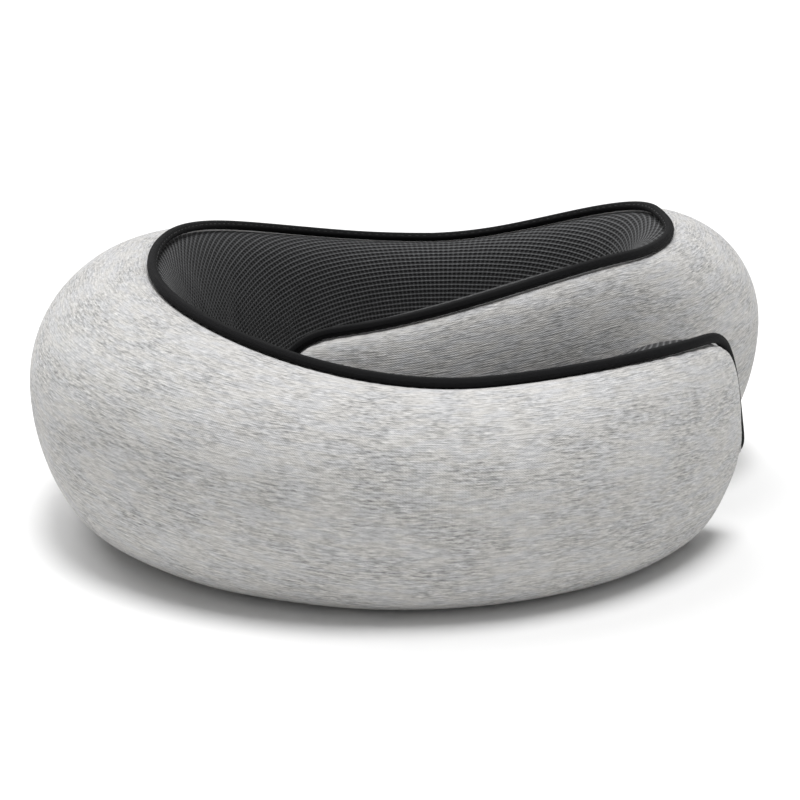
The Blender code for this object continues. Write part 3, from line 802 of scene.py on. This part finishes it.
# one loop as points: along the tape in metres, then shares of the reach and of the height
tooth_line = np.array([(-0.00012, 1.05, 0.12), (-0.00008, 0.30, 0.10), (0.0, -0.12, 0.30),
                       (0.0001, -0.22, 0.55), (0.0001, -0.12, 0.80), (0.00008, 0.30, 1.00),
                       (0.0, 0.85, 0.90), (-0.00006, 1.02, 0.55)])
loop = tooth_line * [1, COIL_REACH, COIL_HEIGHT - 2 * TOOTH_WIRE] + [0, 0.0001, TOOTH_WIRE]
loop_ahead = np.gradient(loop, axis=0)
loop_ahead /= np.linalg.norm(loop_ahead, axis=1, keepdims=True)
loop_side = np.cross(loop_ahead, [1.0, 0.0, 0.0])
loop_side /= np.linalg.norm(loop_side, axis=1, keepdims=True)
loop_up = np.cross(loop_side, loop_ahead)
turns = np.linspace(0, 2 * math.pi, 7)
loop_tube = (loop[:, None] + TOOTH_WIRE * (np.cos(turns)[None, :, None] * loop_side[:, None]
                                           + np.sin(turns)[None, :, None] * loop_up[:, None]))
coil_pieces = {}
for name, hand in (("upper", 1), ("lower", -1)):
    tooth, _, _, _ = wrapped_grid("coil_loop", loop_tube * [1, hand, 1])
    seal(tooth)
    bpy.ops.object.shade_smooth()
    shift = 0.0 if hand > 0 else TOOTH_PITCH / 2
    turns_at = np.arange(-coil_half + shift, coil_half, TOOTH_PITCH)
    coil_pieces[name] = laid_out(
        tooth, [zip_matrix(place, 0.0, COIL_BASE) for place in turns_at], "zip_teeth_" + name)
teeth_upper, teeth_lower = coil_pieces["upper"], coil_pieces["lower"]

# %% [markdown]
# ## Jersey welt round the zip
#
# The jersey is turned under along the zip and topstitched, which leaves a soft raised edge all
# round the opening. It is a flattened roll that follows a long oval on the zip's arc.

# %% Fold the welt
WELT_HALF_LENGTH, WELT_HALF_HEIGHT = 0.0655, 0.0078
WELT_WIDTH, WELT_RISE, WELT_LIFT, WELT_STEPS, WELT_SIDES = 0.0032, 0.0012, 0.0008, 240, 16
TOPSTITCH_AT, TOPSTITCH_DIP, TOPSTITCH_SPREAD = 0.0010, 0.00035, 0.0005
OUTER_FROM, OUTER_DROP = 0.008, 0.0004      # the welt's outer edge lies lower
FLAT_STEP, FLAT_ROUND = 0.00105, 0.0025     # metres of cloth for a step and for a radian


def oval(share):
    """Point on a long oval with round ends, at a share of its length, and its way outwards."""
    straight = 2 * (WELT_HALF_LENGTH - WELT_HALF_HEIGHT)
    bend = math.pi * WELT_HALF_HEIGHT
    place = share * 2 * (straight + bend)
    half, place = (1, place) if place < straight + bend else (-1, place - straight - bend)
    if place < straight:
        spot, away = (place - straight / 2, WELT_HALF_HEIGHT), (0.0, 1.0)
    else:
        angle = (place - straight) / WELT_HALF_HEIGHT
        away = (math.sin(angle), math.cos(angle))
        spot = (straight / 2 + WELT_HALF_HEIGHT * away[0], WELT_HALF_HEIGHT * away[1])
    return np.array(spot) * half, np.array(away) * half


welt_angles = np.linspace(0, 2 * math.pi, WELT_SIDES + 1)
welt_grid, welt_flat = [], []
for step in range(WELT_STEPS + 1):
    (x, y), (ax, ay) = oval((step % WELT_STEPS) / WELT_STEPS)
    ripple = 1 + 0.05 * math.sin(step * 1.9) * math.sin(step * 0.37)
    section = []
    for angle in welt_angles:
        wide = WELT_WIDTH * math.copysign(abs(math.cos(angle)) ** 0.8, math.cos(angle))
        high = WELT_RISE * math.sin(angle) * ripple + WELT_LIFT
        if math.sin(angle) > 0:
            high -= TOPSTITCH_DIP * math.exp(-((wide - TOPSTITCH_AT) / TOPSTITCH_SPREAD) ** 2)
        if abs(y + ay * wide) > OUTER_FROM:
            high -= OUTER_DROP
        section.append(zip_point(x + ax * wide, y + ay * wide, high))
    welt_grid.append(section)
    welt_flat.append([(step * FLAT_STEP, angle * FLAT_ROUND) for angle in welt_angles])
welt, _, _, _ = wrapped_grid("zip_welt", np.array(welt_grid), np.array(welt_flat))
face_outwards(welt)
bpy.ops.object.shade_smooth()
print("welt has", len(welt.data.polygons), "faces")

# %% Topstitch the welt
TOPSTITCHES, TOPSTITCH_LENGTH, TOPSTITCH_THICK, TOPSTITCH_HEIGHT = 90, 0.0024, 0.00045, 0.00195
standings = []
for step in range(TOPSTITCHES):
    (x, y), (ax, ay) = oval((step + 0.5) / TOPSTITCHES)
    placed = zip_matrix(x + ax * TOPSTITCH_AT, y + ay * TOPSTITCH_AT, TOPSTITCH_HEIGHT)
    standings.append(placed @ Matrix.Rotation(math.atan2(-ax, ay), 4, "Z"))
welt_stitches = laid_out(thread_grain(TOPSTITCH_LENGTH, TOPSTITCH_THICK), standings,
                         "welt_stitches")

# %% [markdown]
# ## Slider, pull and stops
#
# Small cast pieces have no sharp edges. Each is a copy of its CAD node, merged, its flat areas
# turned back into single faces, and then bevelled, so it is the same size and in the same place.


# %% Round the edges of a cast piece
def softened_copy(node, name, width):
    """Bevelled copy of a CAD node's mesh as a new piece."""
    copy = bpy.data.objects.new(name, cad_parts[node].data.copy())
    copy.data.name = name
    bpy.context.scene.collection.objects.link(copy)
    copy.data.transform(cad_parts[node].matrix_world)
    without_materials(copy)
    merge_doubles(copy)
    bpy.ops.object.mode_set(mode="EDIT")
    bpy.ops.mesh.select_all(action="SELECT")
    bpy.ops.mesh.dissolve_limited(angle_limit=math.radians(3))
    bpy.ops.mesh.normals_make_consistent(inside=False)
    bpy.ops.object.mode_set(mode="OBJECT")
    bpy.ops.object.modifier_add(type="BEVEL")
    bevel = copy.modifiers["Bevel"]
    bevel.width, bevel.segments = width, 2
    bevel.limit_method, bevel.angle_limit = "ANGLE", math.radians(25)
    bpy.ops.object.modifier_apply(modifier="Bevel")
    bpy.ops.object.shade_smooth_by_angle(angle=math.radians(35))
    print(name, len(copy.data.polygons), "faces")
    return copy


slider = softened_copy("zip_slider", "slider_body", 0.00018)
pull = softened_copy("zip_pull", "pull_tab", 0.00022)
stop_start = softened_copy("zip_stop_start", "stop_at_start", 0.00030)
stop_end = softened_copy("zip_stop_end", "stop_at_end", 0.00030)

# %% [markdown]
# ## Care label
#
# A blank satin ribbon is sewn in at the lower seam of the neck side. It is a small sheet that
# lies on the lining, with its free end lifted a little and its corners soft.

# %% Cut and hang the label
LABEL_T, LABEL_WIDTH, LABEL_HEIGHT, LABEL_THICK = -0.030, 0.022, 0.024, 0.0004
LABEL_FOOT, LABEL_LIFT, LABEL_CURL, LABEL_WAVE = 0.004, 0.0016, 0.0016, 0.0005
SLOPE_STEP = 0.002


def lining_point(t, way_up, lift):
    """Point over the lining, a given way up from the lower seam."""
    points = outline(t)[LOWER_SEAM:]
    walk = walked(points)
    centre, outwards = centre_line(t)
    here = np.array([np.interp(way_up, walk, points[:, k]) for k in (0, 1)])
    slope = np.array([np.interp(way_up + SLOPE_STEP, walk, points[:, k]) for k in (0, 1)]) - here
    here = here + np.array([-slope[1], slope[0]]) / np.linalg.norm(slope) * lift
    return np.array([*(centre + outwards * here[0]), here[1]]) - RING_CENTRE


label_rows, label_columns = np.linspace(-0.5, 0.5, 15), np.linspace(0, 1, 17)
label_grid = np.array([[lining_point(
    LABEL_T + LABEL_WIDTH * across, LABEL_FOOT + LABEL_HEIGHT * upward,
    LABEL_LIFT + LABEL_CURL * upward ** 3
    + LABEL_WAVE * math.sin(5 * across + 2 * upward) * upward)
    for upward in label_columns] for across in label_rows])
label_flat = np.array([[(LABEL_WIDTH * across, LABEL_HEIGHT * upward)
                        for upward in label_columns] for across in label_rows])
label, _, _, _ = wrapped_grid("blank_label", label_grid, label_flat)
thicken(label, LABEL_THICK)
print("label is", round(LABEL_WIDTH * 1000), "by", round(LABEL_HEIGHT * 1000), "mm")

# %% [markdown]
# ## Finishes
#
# Cloth is drawn in metres on each skin's flat cut, so a yarn is as thick as a real one and runs
# the way the cloth was laid. What several finishes share, such as stretched flecks, knit rows
# and a woven face, is a node group with named inputs, built once. Each small tool finds the
# node tree from a socket it is given, so a pattern reads like a sum.


# %% Small tools for wiring nodes
def wire(target, value):
    """Link a socket, or set a plain value."""
    if isinstance(value, bpy.types.NodeSocket):
        target.id_data.links.new(value, target)
    else:
        target.default_value = value


def node_beside(values, kind):
    """New node in the tree of the first socket among some values."""
    socket = next(value for value in values if isinstance(value, bpy.types.NodeSocket))
    return socket.id_data.nodes.new(kind)


def maths(operation, *values):
    """Math node's output."""
    made = node_beside(values, "ShaderNodeMath")
    made.operation = operation
    for slot, value in enumerate(values):
        wire(made.inputs[slot], value)
    return made.outputs[0]


def times(first, second):
    """Product of two values."""
    return maths("MULTIPLY", first, second)


def plus(first, second):
    """Sum of two values."""
    return maths("ADD", first, second)


def wave(place):
    """Cosine wave between 0 and 1 that repeats with every whole number."""
    return plus(0.5, times(0.5, maths("COSINE", times(place, 2 * math.pi))))


def spread(value, low, high, to_low=0.0, to_high=1.0):
    """Map a value from one range to another, held inside it."""
    made = node_beside([value], "ShaderNodeMapRange")
    made.interpolation_type = "SMOOTHSTEP"
    for slot, number in zip(("Value", "From Min", "From Max", "To Min", "To Max"),
                            (value, low, high, to_low, to_high)):
        wire(made.inputs[slot], number)
    return made.outputs["Result"]


def blended(share, first, second):
    """Mix of two colours."""
    made = node_beside([share], "ShaderNodeMix")
    made.data_type = "RGBA"
    wire(made.inputs["Factor"], share)
    for slot, colour in ((6, first), (7, second)):
        plain = not isinstance(colour, bpy.types.NodeSocket)
        wire(made.inputs[slot], (*colour, 1.0) if plain else colour)
    return made.outputs[2]


def parts_of(place):
    """X, Y and Z of a place."""
    made = node_beside([place], "ShaderNodeSeparateXYZ")
    wire(made.inputs[0], place)
    return made.outputs[0], made.outputs[1], made.outputs[2]


NUMBER, VECTOR = "NodeSocketFloat", "NodeSocketVector"


def new_group(name, output, **numbers):
    """Node group that takes a place and some numbers and gives one number."""
    group = bpy.data.node_groups.new(name, "ShaderNodeTree")
    group.interface.new_socket("Place", in_out="INPUT", socket_type=VECTOR)
    for number_name, value in numbers.items():
        socket = group.interface.new_socket(number_name, in_out="INPUT", socket_type=NUMBER)
        socket.default_value = value
    group.interface.new_socket(output, in_out="OUTPUT", socket_type=NUMBER)
    given = group.nodes.new("NodeGroupInput").outputs
    return group, given, group.nodes.new("NodeGroupOutput").inputs[0]


# %% Group: stretched flecks
flecks, given, result = new_group("Stretched flecks", "Amount",
                                  Length=0.005, Width=0.001, Detail=2.0)
x, y, z = parts_of(given["Place"])
joined = flecks.nodes.new("ShaderNodeCombineXYZ")
wire(joined.inputs[0], maths("DIVIDE", x, given["Length"]))
wire(joined.inputs[1], maths("DIVIDE", y, given["Width"]))
wire(joined.inputs[2], z)
cloud = flecks.nodes.new("ShaderNodeTexNoise")
cloud.inputs["Scale"].default_value, cloud.inputs["Roughness"].default_value = 1.0, 0.55
wire(cloud.inputs["Vector"], joined.outputs[0])
wire(cloud.inputs["Detail"], given["Detail"])
wire(result, cloud.outputs["Fac"])

# %% Group: knit rows
knit, given, result = new_group("Knit rows", "Height", Wale=0.0009, Course=0.0008)
x, y, _ = parts_of(given["Place"])
from_middle = maths("ABSOLUTE", maths(
    "SUBTRACT", maths("FRACT", maths("DIVIDE", x, given["Wale"])), 0.5))
row = plus(maths("DIVIDE", y, given["Course"]), times(from_middle, 0.9))
leg = maths("SINE", times(row, 2 * math.pi))
from_leg = maths("ABSOLUTE", maths("SUBTRACT", times(from_middle, 4.0), 1.0))
bead = maths("SUBTRACT", 1.0, maths("POWER", from_leg, 2.0))
wire(result, plus(times(leg, 0.3), times(bead, 0.6)))

# %% Group: woven face
woven, given, result = new_group("Woven face", "Height", Warp=0.0006, Weft=0.0006)
x, y, _ = parts_of(given["Place"])
warp_at = times(maths("DIVIDE", x, given["Warp"]), math.pi)
weft_at = times(maths("DIVIDE", y, given["Weft"]), math.pi)
over = times(maths("SINE", warp_at), maths("SINE", weft_at))
twill = times(maths("SINE", plus(warp_at, weft_at)), 0.35)
wire(result, maths("ABSOLUTE", plus(over, twill)))
print("three pattern groups:", flecks.name, "/", knit.name, "/", woven.name)


# %% Start a finish
def new_finish(name, roughness, metallic=0.0, sheen=0.0):
    """Material and its shader's inputs, ready for its patterns."""
    made = bpy.data.materials.new(name)
    made.use_nodes = True
    shader = made.node_tree.nodes["Principled BSDF"].inputs
    shader["Roughness"].default_value = roughness
    shader["Metallic"].default_value = metallic
    shader["Sheen Weight"].default_value = sheen
    shader["Sheen Roughness"].default_value = 0.5
    shader["Specular IOR Level"].default_value = 0.3 if metallic < 0.5 else 0.5
    return made, shader


def cloth_place(finish):
    """The flat cut's coordinates, in metres."""
    made = finish.node_tree.nodes.new("ShaderNodeUVMap")
    made.uv_map = "flat_cut"
    return made.outputs["UV"]


def object_place(finish, turned=(0.0, 0.0, 0.0)):
    """Object coordinates, turned if wanted."""
    made = finish.node_tree.nodes.new("ShaderNodeTexCoord")
    mapping = finish.node_tree.nodes.new("ShaderNodeMapping")
    mapping.inputs["Rotation"].default_value = turned
    wire(mapping.inputs["Vector"], made.outputs["Object"])
    return mapping.outputs["Vector"]


def patterned(group, **values):
    """Output of a pattern group with its inputs set."""
    made = node_beside(values.values(), "ShaderNodeGroup")
    made.node_tree = group
    for socket, value in values.items():
        wire(made.inputs[socket], value)
    return made.outputs[0]


def fleck_mask(place, length, width, low, high, detail=2.0):
    """Flecks of a size as a mask between 0 and 1."""
    return spread(patterned(flecks, Place=place, Length=length, Width=width, Detail=detail),
                  low, high)


def paint(shader, share, first, second):
    """Base colour that goes from one colour to another."""
    wire(shader["Base Color"], blended(share, first, second))


def roughen(shader, share, low, high):
    """Roughness that goes from one value to another."""
    wire(shader["Roughness"], spread(share, 0.0, 1.0, low, high))


def press(shader, height, depth):
    """Bump of a real depth in metres, from a height between 0 and 1."""
    bump = node_beside([height], "ShaderNodeBump")
    bump.inputs["Strength"].default_value = 1.0
    bump.inputs["Distance"].default_value = depth
    wire(bump.inputs["Height"], height)
    wire(shader["Normal"], bump.outputs["Normal"])


# %% [markdown]
# ### Heather jersey
#
# Pale and dark fibres are spun together, so the yarn changes shade every few millimetres and
# the knit shows short streaks that run along the pillow. Wider, fainter clouds lie under them.
# The face is tight and matt, with a little sheen from loose fibre ends.

# %% Mix the heather
PALE, COOL = (0.70, 0.685, 0.665), (0.645, 0.655, 0.685)
DARK, BRIGHT = (0.21, 0.21, 0.21), (0.90, 0.89, 0.88)
JERSEY, shader = new_finish("heather_jersey_knit", 0.92, sheen=0.18)
place = cloth_place(JERSEY)
clouds = fleck_mask(place, 0.026, 0.013, 0.34, 0.66)
streaks = fleck_mask(place, 0.0056, 0.00090, 0.40, 0.66, 3.0)
short_streaks = fleck_mask(place, 0.0026, 0.00052, 0.38, 0.70)
pale_streaks = fleck_mask(place, 0.0052, 0.00080, 0.46, 0.70, 3.0)
tints = fleck_mask(place, 0.014, 0.004, 0.42, 0.60)
colour = blended(times(tints, 0.6), PALE, COOL)
colour = blended(times(pale_streaks, 0.7), colour, BRIGHT)
dark_share = times(plus(times(streaks, 0.40), times(short_streaks, 0.34)),
                   plus(0.66, times(clouds, 0.62)))
paint(shader, dark_share, colour, DARK)
wire(shader["Roughness"], plus(0.86, times(streaks, 0.1)))
rows = patterned(knit, Place=place, Wale=0.0010, Course=0.0009)
fibres = maths("SUBTRACT", pale_streaks, streaks)
press(shader, plus(times(rows, 0.7), times(fibres, 0.35)), 0.00016)

# %% [markdown]
# ### Black spacer mesh
#
# Spacer mesh has two faces held apart by fine threads. Its top face is knitted in ridges 2 mm
# apart, crossed by finer ribs, with dark holes between. The ridges catch the light from the side,
# so the black thread is painted grey on them, a painted highlight, and the holes are painted
# almost black, painted shade.

# %% Knit the mesh
RIDGE_PITCH, RIB_PITCH = 0.0020, 0.00175
# The thread colour is black thread painted grey, a painted highlight; the hole colour is painted
# shade.
MESH_THREAD_HIGHLIGHT, MESH_HOLE_SHADE = (0.150, 0.152, 0.158), (0.0040, 0.0040, 0.0045)
MESH, shader = new_finish("black_spacer_mesh_knit", 0.72, sheen=0.12)
place = cloth_place(MESH)
x, y, _ = parts_of(place)
wobble = patterned(flecks, Place=place, Length=0.012, Width=0.004, Detail=1.0)
ridge = wave(plus(maths("DIVIDE", y, RIDGE_PITCH), times(wobble, 0.25)))
rib = wave(maths("DIVIDE", x, RIB_PITCH))
beads = times(spread(ridge, 0.50, 0.98), plus(0.55, times(rib, 0.45)))
thread = maths("MAXIMUM", beads, times(spread(rib, 0.50, 0.95), 0.26))
fuzz = fleck_mask(place, 0.0016, 0.0006, 0.3, 0.75)
# Painted highlight on the ridges and ribs, painted shade in the holes between them.
paint(shader, times(thread, plus(0.65, times(fuzz, 0.35))), MESH_HOLE_SHADE, MESH_THREAD_HIGHLIGHT)
roughen(shader, thread, 0.9, 0.6)
press(shader, maths("MAXIMUM", ridge, times(rib, 0.6)), 0.00055)

# %% [markdown]
# ### Black binding and threads
#
# The binding is a fine, smooth knit, stretched when it is rolled over, so its rows are tiny. It
# is nearly matt and very dark. The stitches are twisted thread of almost the same black.

# %% Dye the binding and the thread
BINDING, shader = new_finish("black_binding_knit", 0.80, sheen=0.02)
shader["Specular IOR Level"].default_value = 0.16
place = cloth_place(BINDING)
dust = fleck_mask(place, 0.004, 0.0012, 0.35, 0.75)
paint(shader, dust, (0.0045, 0.0045, 0.005), (0.010, 0.010, 0.011))
roughen(shader, dust, 0.72, 0.88)
press(shader, patterned(knit, Place=place, Wale=0.00060, Course=0.00055), 0.00007)


def twisted_thread(name, dark, light):
    """Finish of a twisted sewing thread."""
    made, shader = new_finish(name, 0.6, sheen=0.2)
    place = object_place(made)
    twist = fleck_mask(place, 0.0004, 0.0004, 0.35, 0.65, 1.0)
    paint(shader, twist, dark, light)
    roughen(shader, twist, 0.5, 0.7)
    press(shader, twist, 0.00005)
    return made


BLACK_THREAD = twisted_thread("black_thread", (0.010, 0.010, 0.011), (0.035, 0.035, 0.037))
GREY_THREAD = twisted_thread("grey_thread", (0.38, 0.38, 0.375), (0.62, 0.615, 0.60))

# %% [markdown]
# ### Foam, zip, metal and ribbon
#
# Foam is warm white and full of cells. The zip's tape is a fine weave, its coil smooth nylon,
# and its slider a cast metal plated almost black, with fine scuffs and rubbed edges. The label
# is a satin ribbon with no print.

# %% Cast the foam
FOAM, shader = new_finish("memory_foam_cells", 0.95)
place = object_place(FOAM)
cells = FOAM.node_tree.nodes.new("ShaderNodeTexVoronoi")
cells.inputs["Scale"].default_value = 900.0
wire(cells.inputs["Vector"], place)
hollow = spread(cells.outputs["Distance"], 0.05, 0.55)
tone = patterned(flecks, Place=place, Length=0.03, Width=0.03, Detail=2.0)
cream = blended(tone, (0.84, 0.80, 0.68), (0.88, 0.83, 0.72))
# The pores are painted darker than the cell walls: painted shade in the hollows.
paint(shader, hollow, (0.62, 0.57, 0.45), cream)
roughen(shader, hollow, 0.98, 0.88)
press(shader, hollow, 0.0003)

# %% Weave the tape and mould the coil
TAPE, shader = new_finish("zip_tape_weave", 0.85, sheen=0.1)
place = object_place(TAPE, (math.radians(90), 0.0, 0.0))
face = patterned(woven, Place=place, Warp=0.00055, Weft=0.0005)
tone = fleck_mask(place, 0.006, 0.001, 0.35, 0.7)
# Colour follows the weave: painted shade between threads, painted highlight on their crests.
paint(shader, times(face, plus(0.6, times(tone, 0.4))),
      (0.022, 0.022, 0.024), (0.075, 0.075, 0.08))
roughen(shader, face, 0.92, 0.75)
press(shader, face, 0.00012)

COIL, shader = new_finish("nylon_coil", 0.38)
haze = fleck_mask(object_place(COIL), 0.002, 0.002, 0.3, 0.7)
paint(shader, haze, (0.018, 0.018, 0.020), (0.040, 0.040, 0.043))
roughen(shader, haze, 0.30, 0.48)
press(shader, haze, 0.00002)

# %% Plate the slider
METAL, shader = new_finish("dark_plated_zinc", 0.34, metallic=1.0)
place = object_place(METAL)
brushed = fleck_mask(place, 0.0030, 0.00012, 0.3, 0.7, 3.0)
smudge = fleck_mask(place, 0.004, 0.003, 0.4, 0.65)
edge = METAL.node_tree.nodes.new("ShaderNodeNewGeometry")
rubbed = spread(edge.outputs["Pointiness"], 0.515, 0.58)
tone = blended(smudge, (0.115, 0.115, 0.122), (0.165, 0.163, 0.168))
paint(shader, times(rubbed, 0.6), tone, (0.42, 0.41, 0.40))
wire(shader["Roughness"], plus(0.24, plus(times(brushed, 0.14), times(smudge, 0.10))))
press(shader, brushed, 0.00001)

# %% Weave the ribbon
RIBBON, shader = new_finish("white_satin_ribbon", 0.45, sheen=0.2)
place = cloth_place(RIBBON)
face = patterned(woven, Place=place, Warp=0.00035, Weft=0.0009)
tone = fleck_mask(place, 0.008, 0.0012, 0.35, 0.7)
paint(shader, times(tone, 0.6), (0.80, 0.80, 0.79), (0.70, 0.70, 0.69))
roughen(shader, face, 0.55, 0.38)
press(shader, face, 0.00006)

# %% Put each finish on its pieces
FINISHES = [
    (JERSEY, "heather_jersey", [jersey_left, jersey_right, welt]),
    (MESH, "black_spacer_mesh", [lining_left, lining_right]),
    (BINDING, "black_binding", [binding_left, binding_right]),
    (BLACK_THREAD, "black_binding", [stitches_left, stitches_right]),
    (GREY_THREAD, "heather_jersey", [welt_stitches]),
    (FOAM, "memory_foam", [foam_left, foam_right]),
    (COIL, "zip_coil", [teeth_upper, teeth_lower]),
    (METAL, "zinc_slider", [slider, pull, stop_start, stop_end]),
    (RIBBON, "label_ribbon", [label]),
]
for finish, slot, pieces in FINISHES:
    for piece in pieces:
        without_materials(piece)
        piece.data.materials.append(finish)
for node in ("zip_tape_upper", "zip_tape_lower"):
    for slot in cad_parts[node].material_slots:
        slot.link = "OBJECT"
        slot.material = TAPE
print(len(FINISHES) + 1, "finishes in use")

# %% [markdown]
# ## What moves with what
#
# The foam bends at each wing, where the CAD has a hinge. Here each half of a soft piece keeps
# its place, with its transform baked in. The zip's pieces, the welt and the label go with the
# nape, and the slider and the pull each with its own body.

# %% Bake the soft halves and attach the small pieces
for piece in (jersey_left, lining_left, foam_left, binding_left, stitches_left):
    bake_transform(piece)
for piece in (jersey_right, lining_right, foam_right, binding_right, stitches_right):
    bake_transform(piece)
for piece in (teeth_upper, teeth_lower, welt, welt_stitches, stop_start, stop_end, label):
    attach(piece, "nape")
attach(slider, "zip_slider")
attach(pull, "zip_pull")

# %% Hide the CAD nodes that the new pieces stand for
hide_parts("cover_nape", "cover_left_arm")
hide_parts("cover_nape", "cover_right_arm")
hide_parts("lining_nape", "lining_left_arm")
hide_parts("lining_nape", "lining_right_arm")
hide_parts("foam_nape", "foam_left_arm")
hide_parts("foam_nape", "foam_right_arm")
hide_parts("binding_left_arm", "binding_nape_top", "binding_nape_bottom")
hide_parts("binding_right_arm", "binding_nape_top", "binding_nape_bottom")
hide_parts("zip_coil_upper")
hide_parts("zip_coil_lower")
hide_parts("zip_slider")
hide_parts("zip_pull")
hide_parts("zip_stop_start")
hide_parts("zip_stop_end")
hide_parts("care_label")

# %% Print the visual box
low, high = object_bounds()
print("visual box in mm:", [round((b - a) * 1000, 1) for a, b in zip(low, high)])
